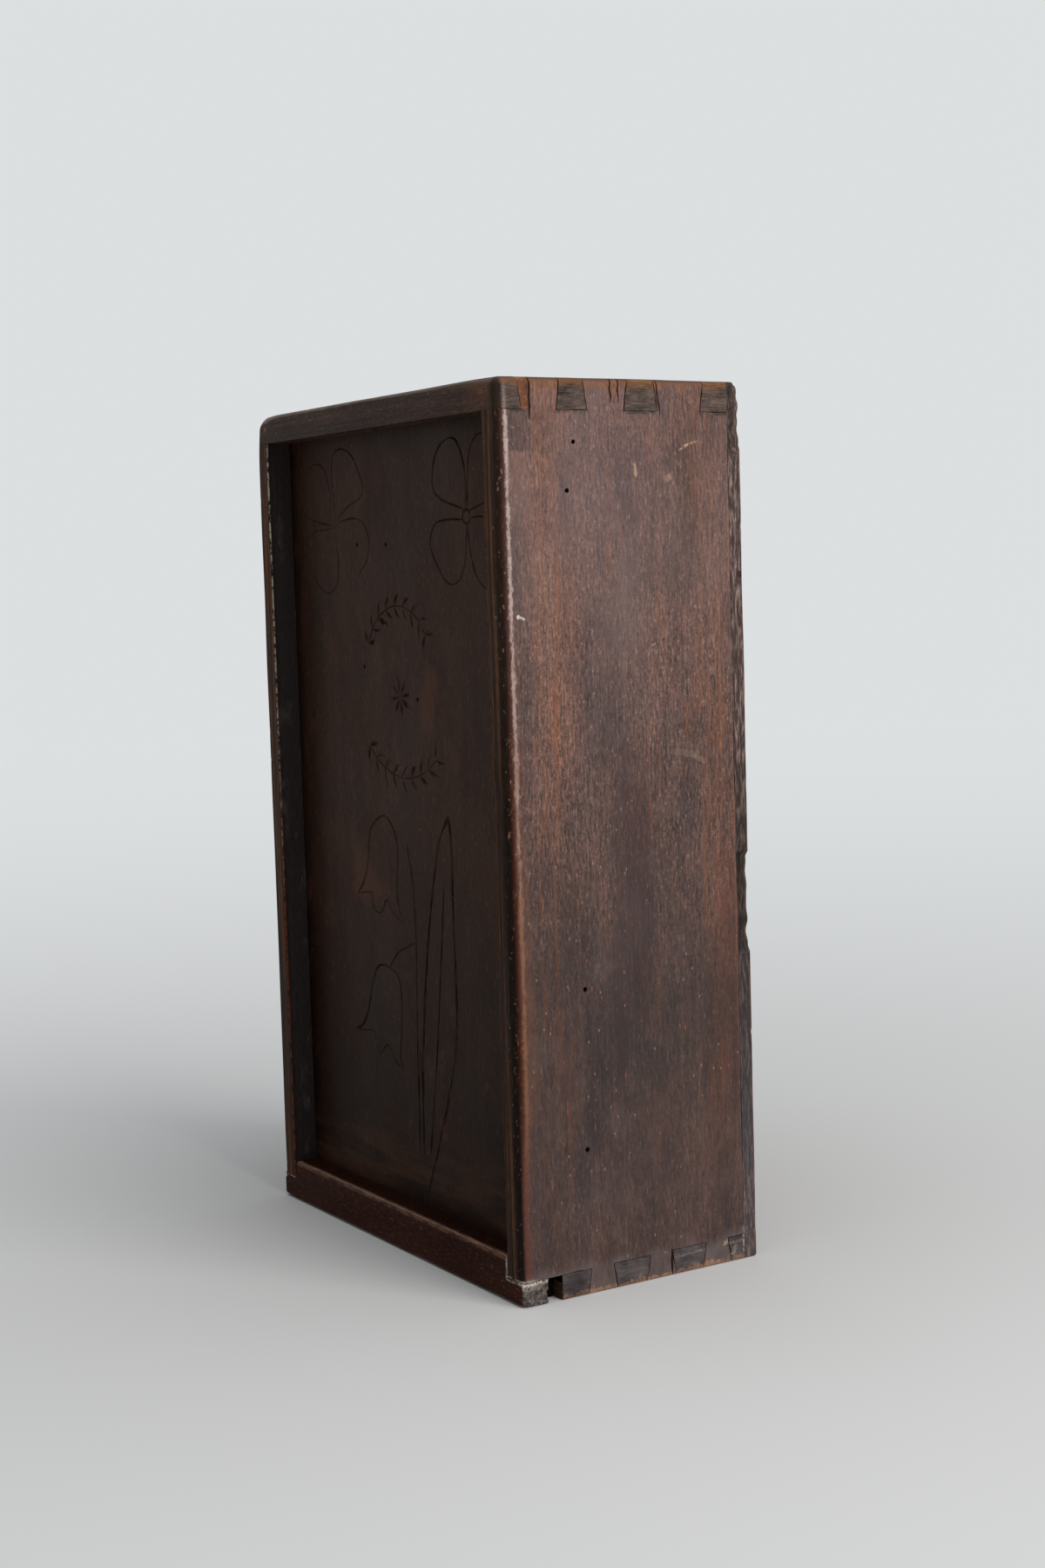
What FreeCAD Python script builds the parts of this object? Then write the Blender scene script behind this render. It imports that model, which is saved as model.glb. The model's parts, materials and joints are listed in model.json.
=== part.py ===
import FreeCAD, Part
import os
import Sketcher

# A candle box of dovetailed boards, standing on the end where its lid comes out.
#
# Two side boards and two end boards are dovetailed into a frame. The ends carry the pins and the
# sides carry the tails. A back board is planted on the frame and held with cut nails. The lid is a
# thin board that slides in grooves in the sides, stops in a groove in the top end, and passes over
# the bottom end, which stands lower than the sides. A strip bradded to the lid fills the gap that
# the low end leaves, and its two ends fill notches in the sides. A thin shim packs one dovetail.
#
# Millimetres. +Z is up. Z 0 is the face the box stands on, X 0 and Y 0 are the middle of its width
# and depth, and the lid faces -Y. Inside the sketches, X is measured from the left face, the depth
# from the front edge and Z from the foot, so every sketch dimension is positive.

SIZES = {
    # overall
    "box_height": 350.0,
    "box_width": 204.0,
    "side_depth": 105.5,
    "back_thick": 6.5,
    # boards
    "side_thick": 11.0,
    "top_thick": 12.0,
    "bottom_thick": 10.0,
    # where the lid runs: the lip in front of the groove, the groove, and the play around the lid
    "lip_depth": 11.0,
    "groove_wide": 7.0,
    "groove_deep": 5.0,
    "slide_gap": 0.3,
    "lid_side_play": 0.5,
    "lid_end_play": 0.6,
    "lid_bevel": 1.2,
    "strip_height": 17.8,
    # dovetails: pin widths at the baseline, and how far a hand-cut pin is off the even division
    "pin_flare": 1.7,
    "front_pin_margin": 0.2,
    "top_pin_two": 13.6,
    "top_pin_two_shift": -2.3,
    "top_pin_three": 15.5,
    "top_pin_three_shift": -6.0,
    "top_pin_back": 13.1,
    "bottom_pin_front": 13.6,
    "bottom_pin_two": 17.2,
    "bottom_pin_two_shift": 3.4,
    "bottom_pin_three": 16.6,
    "bottom_pin_three_shift": 1.9,
    "bottom_pin_back": 8.0,
    # the shim beside the front pin at the top right corner
    "shim_wide": 3.2,
    "shim_deep": 5.5,
    # worn outer edges
    "upright_round": 3.5,
    "top_round": 3.0,
    "foot_round": 1.0,
    # cut nails through the back board
    "nail_long": 22.0,
    "nail_shank": 2.0,
    "nail_tip": 1.0,
    "nail_head": 4.0,
    "nail_head_thick": 0.9,
    "nail_sunk": 0.2,
    "nail_fit": 0.05,
    "side_nail_inset": 30.0,
    "end_nail_spread": 104.0,
    # brads through the lid into its strip
    "brad_long": 12.5,
    "brad_shank": 1.4,
    "brad_tip": 0.7,
    "brad_head": 2.6,
    "brad_head_thick": 0.6,
    "brad_sunk": 0.1,
    "brad_spread": 150.0,
}
SIDE_NAILS = 4
STRIP_BRADS = 4

# Two places this close are the same one, and a cut has to take away more than CUT_LEAST mm3.
TOUCHING = 0.01
CUT_LEAST = 1.0

# Expressions that several pieces share.
WIDTH = "sizes.box_width"
HEIGHT = "sizes.box_height"
DEPTH = "sizes.side_depth"
FULL_DEPTH = "(sizes.side_depth + sizes.back_thick)"
INNER_LEFT = "sizes.side_thick"
INNER_RIGHT = "(sizes.box_width - sizes.side_thick)"
TOP_INSIDE = "(sizes.box_height - sizes.top_thick)"
BOTTOM_INSIDE = "sizes.bottom_thick"
GROOVE_BACK = "(sizes.lip_depth + sizes.groove_wide)"
GROOVE_TOP = "(sizes.box_height - sizes.top_thick + sizes.groove_deep)"
LID_FRONT = "(sizes.lip_depth + sizes.slide_gap)"
LID_BACK = "(sizes.lip_depth + sizes.groove_wide - sizes.slide_gap)"
FRONT_PIN = "(sizes.lip_depth - sizes.front_pin_margin)"

doc = FreeCAD.newDocument("candle_box")


def make_sheet():
    """The driving dimensions, one cell each, with the size's name as its alias."""
    sheet = doc.addObject("Spreadsheet::Sheet", "sizes")
    for row, (name, size) in enumerate(SIZES.items(), start=1):
        sheet.set(f"A{row}", name)
        sheet.set(f"B{row}", str(size))
        sheet.setAlias(f"B{row}", name)
    doc.recompute()
    return sheet


sheet = make_sheet()


def size_of(expression):
    """The present value of an expression, in millimetres."""
    return float(sheet.evalExpression(expression))


def bind(item, prop, expression):
    item.setExpression(prop, expression)


def place_in_box(item):
    """Moves a piece from the corner that its sketches are measured from to the box's own origin."""
    bind(item, "Placement.Base.x", f"-{WIDTH} / 2")
    bind(item, "Placement.Base.y", f"-{FULL_DEPTH} / 2")


def new_body(name):
    body = doc.addObject("PartDesign::Body", name)
    place_in_box(body)
    return body


def sketch_on(body, plane, name, offset="0"):
    """A sketch on one of the body's own planes, moved along that plane's normal by offset."""
    sketch = body.newObject("Sketcher::SketchObject", name)
    face = [f for f in body.Origin.OriginFeatures if f.Role == plane][0]
    sketch.AttachmentSupport = [(face, "")]
    sketch.MapMode = "FlatFace"
    bind(sketch, "AttachmentOffset.Base.z", offset)
    return sketch


def outline(sketch, corners):
    """A closed outline through corners, each a pair of expressions measured from the sketch's origin."""
    first = sketch.GeometryCount
    places = [FreeCAD.Vector(size_of(across), size_of(up), 0) for across, up in corners]
    for start, end in zip(places, places[1:] + places[:1]):
        sketch.addGeometry(Part.LineSegment(start, end), False)
    for i, corner in enumerate(corners):
        line = first + i
        following = first + (i + 1) % len(corners)
        sketch.addConstraint(Sketcher.Constraint("Coincident", line, 2, following, 1))
        for kind, expression in zip(("DistanceX", "DistanceY"), corner):
            number = sketch.addConstraint(
                Sketcher.Constraint(kind, -1, 1, line, 1, size_of(expression))
            )
            bind(sketch, f"Constraints[{number}]", expression)


def rectangle(sketch, left, low, right, high):
    outline(sketch, [(left, low), (right, low), (right, high), (left, high)])


def pad(body, sketch, name, length, reverse=False):
    feature = body.newObject("PartDesign::Pad", name)
    feature.Profile = sketch
    feature.Reversed = reverse
    bind(feature, "Length", length)
    doc.recompute()
    return feature


def pocket(body, sketch, name, length, reverse=False):
    """A pocket that has to take something away: one that points off the solid is stopped here."""
    before = body.Shape.Volume
    feature = body.newObject("PartDesign::Pocket", name)
    feature.Profile = sketch
    feature.Reversed = reverse
    bind(feature, "Length", length)
    doc.recompute()
    if body.Shape.Volume > before - CUT_LEAST:
        raise RuntimeError(f"{name} cuts nothing")
    return feature


def pin(sketch, front, back, baseline, end, flare_front, flare_back):
    """One dovetail pin seen from the side: full width at the baseline, narrower at the board's end."""
    front_end = f"{front} + sizes.pin_flare" if flare_front else front
    back_end = f"{back} - sizes.pin_flare" if flare_back else back
    outline(sketch, [(front, baseline), (back, baseline), (back_end, end), (front_end, end)])


def middle_pin(sketch, row, number, share, start, baseline, end):
    """A full pin near a third or two thirds of the way across, as the maker set it out by hand."""
    middle = f"{start} + ({DEPTH} - {start}) * {share} / 3 + sizes.{row}_pin_{number}_shift"
    half = f"sizes.{row}_pin_{number} / 2"
    pin(sketch, f"({middle} - {half})", f"({middle} + {half})", baseline, end, True, True)


def top_pins(sketch):
    """The top end's four pins. The front one stops short of the lid's groove."""
    pin(sketch, "0", FRONT_PIN, TOP_INSIDE, HEIGHT, False, True)
    middle_pin(sketch, "top", "two", 1, "0", TOP_INSIDE, HEIGHT)
    middle_pin(sketch, "top", "three", 2, "0", TOP_INSIDE, HEIGHT)
    pin(sketch, f"({DEPTH} - sizes.top_pin_back)", DEPTH, TOP_INSIDE, HEIGHT, True, False)


def bottom_pins(sketch):
    """The bottom end's four pins, all behind the lid."""
    front_back = f"({GROOVE_BACK} + sizes.bottom_pin_front)"
    pin(sketch, GROOVE_BACK, front_back, BOTTOM_INSIDE, "0", False, True)
    middle_pin(sketch, "bottom", "two", 1, GROOVE_BACK, BOTTOM_INSIDE, "0")
    middle_pin(sketch, "bottom", "three", 2, GROOVE_BACK, BOTTOM_INSIDE, "0")
    pin(sketch, f"({DEPTH} - sizes.bottom_pin_back)", DEPTH, BOTTOM_INSIDE, "0", True, False)


def shim_outline(sketch):
    """The sliver between the top front pin and the first tail, as high as the end board."""
    back = f"({FRONT_PIN} + sizes.shim_wide)"
    outline(
        sketch,
        [
            (FRONT_PIN, TOP_INSIDE),
            (back, TOP_INSIDE),
            (back, HEIGHT),
            (f"{FRONT_PIN} - sizes.pin_flare", HEIGHT),
        ],
    )


def joined(kind, name, base, tool):
    """A Part boolean of two objects: Cut, Common or Fuse."""
    item = doc.addObject(f"Part::{kind}", name)
    item.Base = base
    item.Tool = tool
    doc.recompute()
    return item


def compound(name, items):
    item = doc.addObject("Part::Compound", name)
    item.Links = items
    doc.recompute()
    return item


# The outside of the whole box with its edges worn round. Each outer board is kept within it.


def edges_where(shape, test):
    """Names of the edges whose middle point passes the test."""
    return [
        f"Edge{i}" for i, edge in enumerate(shape.Edges, start=1) if test(edge.CenterOfMass)
    ]


def fillet(body, name, radius, test):
    tip = body.Tip
    feature = body.newObject("PartDesign::Fillet", name)
    feature.Base = (tip, edges_where(tip.Shape, test))
    bind(feature, "Radius", radius)
    doc.recompute()
    return feature


def make_worn_outline():
    body = new_body("worn_outline")
    sketch = sketch_on(body, "XY_Plane", "outline_plan")
    rectangle(sketch, "0", "0", WIDTH, FULL_DEPTH)
    pad(body, sketch, "outline_block", HEIGHT)
    height = size_of(HEIGHT)
    upright = "sizes.upright_round"
    fillet(body, "upright_edges", upright, lambda p: abs(p.z - height / 2) < TOUCHING)
    fillet(body, "top_edges", "sizes.top_round", lambda p: abs(p.z - height) < TOUCHING)
    fillet(body, "foot_edges", "sizes.foot_round", lambda p: abs(p.z) < TOUCHING)
    return body


worn_outline = make_worn_outline()

# Cut nails and brads: a square head and a square shank that tapers to a blunt point.


def nail(name, kind, across, up, head_face, grow):
    """One nail driven towards -Y with its head sunk under head_face, or its socket if grow isn't 0.

    A socket is grow larger on every side, and its mouth is open at head_face.
    """
    neck = f"({head_face} - sizes.{kind}_sunk - sizes.{kind}_head_thick)"
    mouth = "0" if grow == "0" else f"sizes.{kind}_sunk"
    head = doc.addObject("Part::Box", name + "_head")
    bind(head, "Length", f"sizes.{kind}_head + 2 * {grow}")
    bind(head, "Height", f"sizes.{kind}_head + 2 * {grow}")
    bind(head, "Width", f"sizes.{kind}_head_thick + {mouth} + {grow}")
    bind(head, "Placement.Base.x", f"-{WIDTH} / 2 + {across} - sizes.{kind}_head / 2 - {grow}")
    bind(head, "Placement.Base.y", f"-{FULL_DEPTH} / 2 + {neck} - {grow}")
    bind(head, "Placement.Base.z", f"{up} - sizes.{kind}_head / 2 - {grow}")
    shank = doc.addObject("Part::Wedge", name + "_shank")
    for side, sign in (("min", "-"), ("max", "")):
        for axis in "XZ":
            bind(shank, f"{axis}{side}", f"{sign}(sizes.{kind}_tip / 2 + {grow})")
            bind(shank, f"{axis}2{side}", f"{sign}(sizes.{kind}_shank / 2 + {grow})")
    bind(shank, "Ymin", f"sizes.{kind}_head_thick - sizes.{kind}_long - {grow}")
    bind(shank, "Ymax", "0")
    bind(shank, "Placement.Base.x", f"-{WIDTH} / 2 + {across}")
    bind(shank, "Placement.Base.y", f"-{FULL_DEPTH} / 2 + {neck}")
    bind(shank, "Placement.Base.z", up)
    return joined("Fuse", name, head, shank)


def nail_places():
    """Where the back board's nails go: up both side boards, then two in each end board."""
    places = []
    for side in ("sizes.side_thick / 2", f"({WIDTH} - sizes.side_thick / 2)"):
        for step in range(SIDE_NAILS):
            share = step / (SIDE_NAILS - 1)
            height = f"(sizes.side_nail_inset + ({HEIGHT} - 2 * sizes.side_nail_inset) * {share})"
            places.append((side, height))
    for height in ("sizes.bottom_thick / 2", f"({HEIGHT} - sizes.top_thick / 2)"):
        for sign in ("-", "+"):
            places.append((f"({WIDTH} / 2 {sign} sizes.end_nail_spread / 2)", height))
    return places


def brad_places():
    """Where the lid's brads go: in a row along the strip."""
    places = []
    for step in range(STRIP_BRADS):
        share = step / (STRIP_BRADS - 1) - 0.5
        places.append((f"({WIDTH} / 2 + sizes.brad_spread * {share})", "sizes.strip_height / 2"))
    return places


def nails(name, kind, places, head_face, grow="0"):
    """All the nails of one kind as one group of separate solids."""
    made = [
        nail(f"{name}_{number}", kind, across, up, head_face, grow)
        for number, (across, up) in enumerate(places, start=1)
    ]
    return compound(name, made)


back_nails = nails("back_nails", "nail", nail_places(), FULL_DEPTH)
nail_sockets = nails("nail_sockets", "nail", nail_places(), FULL_DEPTH, "sizes.nail_fit")
strip_brads = nails("strip_brads", "brad", brad_places(), LID_BACK)
brad_sockets = nails("brad_sockets", "brad", brad_places(), LID_BACK, "sizes.nail_fit")

# Side boards: grooved for the lid, notched at the foot for the strip, with sockets for the pins.


def make_side_board():
    body = new_body("side_board")
    sketch = sketch_on(body, "YZ_Plane", "side_face", INNER_RIGHT)
    rectangle(sketch, "0", "0", DEPTH, HEIGHT)
    pad(body, sketch, "side_blank", "sizes.side_thick")
    sketch = sketch_on(body, "YZ_Plane", "side_groove_face", INNER_RIGHT)
    rectangle(sketch, "sizes.lip_depth", "0", GROOVE_BACK, GROOVE_TOP)
    pocket(body, sketch, "side_groove", "sizes.groove_deep", reverse=True)
    sketch = sketch_on(body, "YZ_Plane", "strip_notch_face", INNER_RIGHT)
    rectangle(sketch, "0", "0", GROOVE_BACK, BOTTOM_INSIDE)
    pocket(body, sketch, "strip_notch", "sizes.side_thick", reverse=True)
    sketch = sketch_on(body, "YZ_Plane", "top_sockets_face", INNER_RIGHT)
    top_pins(sketch)
    pocket(body, sketch, "top_sockets", "sizes.side_thick", reverse=True)
    sketch = sketch_on(body, "YZ_Plane", "bottom_sockets_face", INNER_RIGHT)
    bottom_pins(sketch)
    pocket(body, sketch, "bottom_sockets", "sizes.side_thick", reverse=True)
    worn = joined("Common", "side_worn", body, worn_outline)
    return joined("Cut", "side_nailed", worn, nail_sockets)


def make_left_side(board):
    """The left side is the right one mirrored: makers cut the two sides as a pair."""
    item = doc.addObject("Part::Mirroring", "left_side")
    item.Source = board
    item.Base = FreeCAD.Vector(0, 0, 0)
    item.Normal = FreeCAD.Vector(1, 0, 0)
    doc.recompute()
    return item


def make_shim():
    body = new_body("shim_body")
    sketch = sketch_on(body, "YZ_Plane", "shim_face", f"{WIDTH} - sizes.shim_deep")
    shim_outline(sketch)
    pad(body, sketch, "shim_blank", "sizes.shim_deep")
    return joined("Common", "dovetail_shim", body, worn_outline)


side_board = make_side_board()
left_side = make_left_side(side_board)
dovetail_shim = make_shim()
right_side = joined("Cut", "right_side", side_board, dovetail_shim)

# End boards: each fits between the sides and carries its pins out to their faces.


def make_top_end():
    body = new_body("top_board")
    sketch = sketch_on(body, "XY_Plane", "top_plan", TOP_INSIDE)
    rectangle(sketch, INNER_LEFT, "0", INNER_RIGHT, DEPTH)
    pad(body, sketch, "top_blank", "sizes.top_thick")
    sketch = sketch_on(body, "YZ_Plane", "top_pins_face")
    top_pins(sketch)
    pad(body, sketch, "top_pins", WIDTH)
    sketch = sketch_on(body, "XY_Plane", "top_groove_plan", TOP_INSIDE)
    rectangle(sketch, INNER_LEFT, "sizes.lip_depth", INNER_RIGHT, GROOVE_BACK)
    pocket(body, sketch, "top_groove", "sizes.groove_deep", reverse=True)
    worn = joined("Common", "top_worn", body, worn_outline)
    return joined("Cut", "top_end", worn, nail_sockets)


def make_bottom_end():
    body = new_body("bottom_board")
    sketch = sketch_on(body, "XY_Plane", "bottom_plan")
    rectangle(sketch, INNER_LEFT, GROOVE_BACK, INNER_RIGHT, DEPTH)
    pad(body, sketch, "bottom_blank", "sizes.bottom_thick")
    sketch = sketch_on(body, "YZ_Plane", "bottom_pins_face")
    bottom_pins(sketch)
    pad(body, sketch, "bottom_pins", WIDTH)
    worn = joined("Common", "bottom_worn", body, worn_outline)
    return joined("Cut", "bottom_end", worn, nail_sockets)


def make_back_board():
    body = new_body("back_blank_body")
    sketch = sketch_on(body, "XY_Plane", "back_plan")
    rectangle(sketch, "0", DEPTH, WIDTH, FULL_DEPTH)
    pad(body, sketch, "back_blank", HEIGHT)
    worn = joined("Common", "back_worn", body, worn_outline)
    return joined("Cut", "back_board", worn, nail_sockets)


top_end = make_top_end()
bottom_end = make_bottom_end()
back_board = make_back_board()

# The lid and the strip on it slide together, clear of the case by slide_gap.


def make_lid_board():
    body = new_body("lid_blank_body")
    reach = "(sizes.side_thick - sizes.groove_deep + sizes.lid_side_play)"
    sketch = sketch_on(body, "XY_Plane", "lid_plan")
    rectangle(sketch, reach, LID_FRONT, f"{WIDTH} - {reach}", LID_BACK)
    pad(body, sketch, "lid_blank", f"{GROOVE_TOP} - sizes.lid_end_play")
    back = size_of(LID_BACK)
    tip = body.Tip
    bevel = body.newObject("PartDesign::Chamfer", "lid_bevels")
    in_groove = edges_where(tip.Shape, lambda p: abs(p.y - back) < TOUCHING and p.z > TOUCHING)
    bevel.Base = (tip, in_groove)
    bind(bevel, "Size", "sizes.lid_bevel")
    doc.recompute()
    return joined("Cut", "lid_board", body, brad_sockets)


def make_lid_end_strip():
    body = new_body("strip_body")
    step = f"({BOTTOM_INSIDE} - sizes.slide_gap)"
    left = f"({INNER_LEFT} + sizes.slide_gap)"
    right = f"({INNER_RIGHT} - sizes.slide_gap)"
    sketch = sketch_on(body, "XZ_Plane", "strip_face")
    outline(
        sketch,
        [
            ("0", "0"),
            (WIDTH, "0"),
            (WIDTH, step),
            (right, step),
            (right, "sizes.strip_height"),
            (left, "sizes.strip_height"),
            (left, step),
            ("0", step),
        ],
    )
    pad(body, sketch, "strip_blank", LID_FRONT, reverse=True)
    worn = joined("Common", "strip_worn", body, worn_outline)
    return joined("Cut", "lid_end_strip", worn, brad_sockets)


lid_board = make_lid_board()
lid_end_strip = make_lid_end_strip()

# Each piece, under the name of the file it is written to.

PIECES = {
    "left_side": left_side,
    "right_side": right_side,
    "top_end": top_end,
    "bottom_end": bottom_end,
    "back_board": back_board,
    "back_nails": back_nails,
    "dovetail_shim": dovetail_shim,
    "lid_board": lid_board,
    "lid_end_strip": lid_end_strip,
    "strip_brads": strip_brads,
}


def check_model():
    """Stops if any object of the document failed or any piece has no sound shape."""
    doc.recompute()
    for item in doc.Objects:
        if "Invalid" in item.State or "Error" in item.State:
            raise RuntimeError(f"{item.Label} failed: {item.State}")
    for name, item in PIECES.items():
        if item.Shape.isNull() or not item.Shape.isValid():
            raise RuntimeError(f"{name} has no valid shape")


def write_pieces():
    os.makedirs("parts", exist_ok=True)
    for name, item in PIECES.items():
        item.Label = name
        item.Shape.exportStep(f"parts/{name}.step")
        box = item.Shape.BoundBox
        print(
            f"{name:14s} {len(item.Shape.Solids):2d} solids  {item.Shape.Volume:10.1f} mm3  "
            f"{box.XLength:6.1f} x {box.YLength:6.1f} x {box.ZLength:6.1f}"
        )


check_model()
write_pieces()
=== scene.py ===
import json
import math

import bmesh
import bpy
import numpy as np
from mathutils import Matrix, Vector
from mathutils.geometry import delaunay_2d_cdt

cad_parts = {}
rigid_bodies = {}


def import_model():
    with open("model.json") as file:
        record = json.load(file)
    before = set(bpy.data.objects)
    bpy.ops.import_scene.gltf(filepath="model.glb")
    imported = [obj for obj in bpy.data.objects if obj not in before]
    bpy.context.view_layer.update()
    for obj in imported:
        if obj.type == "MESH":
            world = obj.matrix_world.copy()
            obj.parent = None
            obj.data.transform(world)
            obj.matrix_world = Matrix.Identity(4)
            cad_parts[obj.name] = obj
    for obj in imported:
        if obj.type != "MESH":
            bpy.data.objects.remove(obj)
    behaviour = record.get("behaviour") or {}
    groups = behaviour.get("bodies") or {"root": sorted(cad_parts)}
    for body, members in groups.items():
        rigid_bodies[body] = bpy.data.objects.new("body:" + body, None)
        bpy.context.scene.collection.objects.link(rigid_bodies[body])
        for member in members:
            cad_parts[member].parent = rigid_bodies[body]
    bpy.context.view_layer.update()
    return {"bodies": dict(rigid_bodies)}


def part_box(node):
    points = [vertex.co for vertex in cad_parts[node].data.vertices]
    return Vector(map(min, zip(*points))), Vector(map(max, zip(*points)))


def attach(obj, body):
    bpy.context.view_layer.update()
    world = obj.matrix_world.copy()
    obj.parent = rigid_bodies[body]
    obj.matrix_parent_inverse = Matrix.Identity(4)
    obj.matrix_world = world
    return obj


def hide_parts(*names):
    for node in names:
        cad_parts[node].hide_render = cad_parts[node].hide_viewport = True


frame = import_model()


# ---------------------------------------------------------------------------------------------
# The side boards. Each is one board of close-grained hardwood, sawn, planed and stained, with
# dovetail tails at both ends, a groove inside for the lid and a notch at its foot. Long handling
# has rounded the front corner and rubbed the stain through to orange wood along it.

mm = 0.001
side_low, side_high = (np.array(corner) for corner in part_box("right_side"))
top_low, top_high = (np.array(corner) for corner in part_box("top_end"))
foot_low, foot_high = (np.array(corner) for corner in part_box("bottom_end"))
back_low, back_high = (np.array(corner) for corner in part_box("back_board"))
box_low = np.array([back_low[0], side_low[1], back_low[2]])
box_high = np.array(back_high)
front = box_low[1]
lip = 11 * mm
groove_wide = foot_low[1] - front - lip
groove_deep = 5 * mm


def ripple(points, size, seed, waves=14):
    """Smooth unevenness between about -1 and 1: a sum of plane cosine waves in random directions,
    each about size long, so neighbouring points move together."""
    draw = np.random.default_rng(seed)
    directions = draw.normal(size=(waves, 3))
    directions /= np.linalg.norm(directions, axis=1, keepdims=True)
    directions *= 2 * math.pi / (np.asarray(size) * draw.uniform(0.7, 1.5, (waves, 1)))
    turns = draw.uniform(0, 2 * math.pi, waves)
    return np.cos(points @ directions.T + turns).sum(axis=1) * math.sqrt(2 / waves) / 1.6


def rule(low, high, coarse, fine=None, reach=0.0):
    """Lines from low to high: fine apart within reach of both ends, and coarse apart between."""
    if fine is None:
        return np.linspace(low, high, max(2, round((high - low) / coarse) + 1))
    ends = np.linspace(0, reach, round(reach / fine) + 1)
    count = max(2, round((high - low - 2 * reach) / coarse) + 1)
    middle = np.linspace(low + reach, high - reach, count)[1:-1]
    return np.concatenate([low + ends, middle, high - ends[::-1]])


def quads(rows, columns, around=False):
    """Corner numbers of the quads of a grid of rows by columns, joined round on itself if asked."""
    across = columns if around else columns - 1
    row, column = np.meshgrid(np.arange(rows - 1), np.arange(across), indexing="ij")
    beside = (column + 1) % columns
    corner_sets = [(row, column), (row, beside), (row + 1, beside), (row + 1, column)]
    return np.stack([r * columns + c for r, c in corner_sets], axis=-1).reshape(-1, 4)


def make_piece(name, points, faces):
    """A mesh object from an array of points and lists of corner numbers."""
    mesh = bpy.data.meshes.new(name)
    mesh.from_pydata(np.asarray(points).tolist(), [], [list(map(int, face)) for face in faces])
    mesh.validate()
    piece = bpy.data.objects.new(name, mesh)
    bpy.context.scene.collection.objects.link(piece)
    return piece


def sew(name, points, faces):
    """One mesh from patches that share their edges: points at the same place become one."""
    points = np.concatenate(points)
    _, first, place = np.unique(
        np.round(points / (mm / 1000)).astype(int), axis=0, return_index=True, return_inverse=True
    )
    place = place.reshape(-1)
    return make_piece(name, points[first], [place[face] for patch in faces for face in patch])


def plank_skin(lines, skip=None):
    """The patches of a rectangular board's skin, ruled by lines along x, y and z: each of its six
    faces is the grid of the other two sets of lines. skip leaves out one, as (axis, end)."""
    points, faces, count = [], [], 0
    for axis in range(3):
        across, up = lines[(axis + 1) % 3], lines[(axis + 2) % 3]
        for end in (0, -1):
            if (axis, end) == skip:
                continue
            grid = np.empty((len(across), len(up), 3))
            grid[..., axis] = lines[axis][end]
            grid[..., (axis + 1) % 3] = across[:, None]
            grid[..., (axis + 2) % 3] = up[None, :]
            around = quads(len(across), len(up)) + count
            faces.append(around if end == 0 else around[:, ::-1])
            points.append(grid.reshape(-1, 3))
            count += len(points[-1])
    return points, faces


def plank(name, lines):
    """A whole rectangular board, ruled as plank_skin says."""
    return sew(name, *plank_skin(lines))


def bar(name, *solids):
    """Closed solids in one mesh. Each solid is an array of stations by points by xyz: its section
    goes through each outline in turn, and both ends are shut."""
    points, faces, count = [], [], 0
    for outlines in solids:
        stations, around = outlines.shape[:2]
        faces += (quads(stations, around, around=True) + count).tolist()
        first, last = np.arange(around) + count, np.arange(around) + count + (stations - 1) * around
        faces += [first[::-1].tolist(), last.tolist()]
        points.append(outlines.reshape(-1, 3))
        count += stations * around
    piece = make_piece(name, np.concatenate(points), faces)
    shape = bmesh.new()
    shape.from_mesh(piece.data)
    bmesh.ops.recalc_face_normals(shape, faces=shape.faces)
    shape.to_mesh(piece.data)
    shape.free()
    return piece


def cut(piece, tools):
    """Takes each tool's solid out of the piece for good and throws the tool away."""
    for tool in tools:
        work = piece.modifiers.new("cut", "BOOLEAN")
        work.object = tool
        work.operation = "DIFFERENCE"
        work.solver = "MANIFOLD"
        view = bpy.context.evaluated_depsgraph_get()
        result = bpy.data.meshes.new_from_object(piece.evaluated_get(view))
        piece.modifiers.clear()
        spent = [piece.data, tool.data]
        piece.data = result
        bpy.data.objects.remove(tool)
        for mesh in spent:
            bpy.data.meshes.remove(mesh)
    piece.data.name = piece.name


def points_of(piece):
    """The piece's points as an array of n by 3."""
    flat = np.empty(len(piece.data.vertices) * 3)
    piece.data.vertices.foreach_get("co", flat)
    return flat.reshape(-1, 3)


def move_points(piece, points):
    """Puts the piece's points where the array says."""
    piece.data.vertices.foreach_set("co", np.asarray(points).reshape(-1))
    piece.data.update()


def draw_in(points, low, high, radius):
    """Rounds the corners of the box from low to high: a point further than radius from the box's
    core, which is the box drawn in by radius, comes straight back to radius from it."""
    radius = np.broadcast_to(np.asarray(radius), (len(points),))[:, None]
    core = np.clip(points, low + radius, high - radius)
    away = points - core
    length = np.maximum(np.linalg.norm(away, axis=1, keepdims=True), mm / 1000)
    return np.where(length > radius, core + away * radius / length, points)


# A point this near a face of its piece or of the box counts as lying on it.
touching = 0.02 * mm


def note(piece, name, amounts):
    """Keeps a number for each point of the mesh, for the finish to read."""
    piece.data.attributes.new(name, "FLOAT", "POINT").data.foreach_set("value", amounts)


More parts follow.
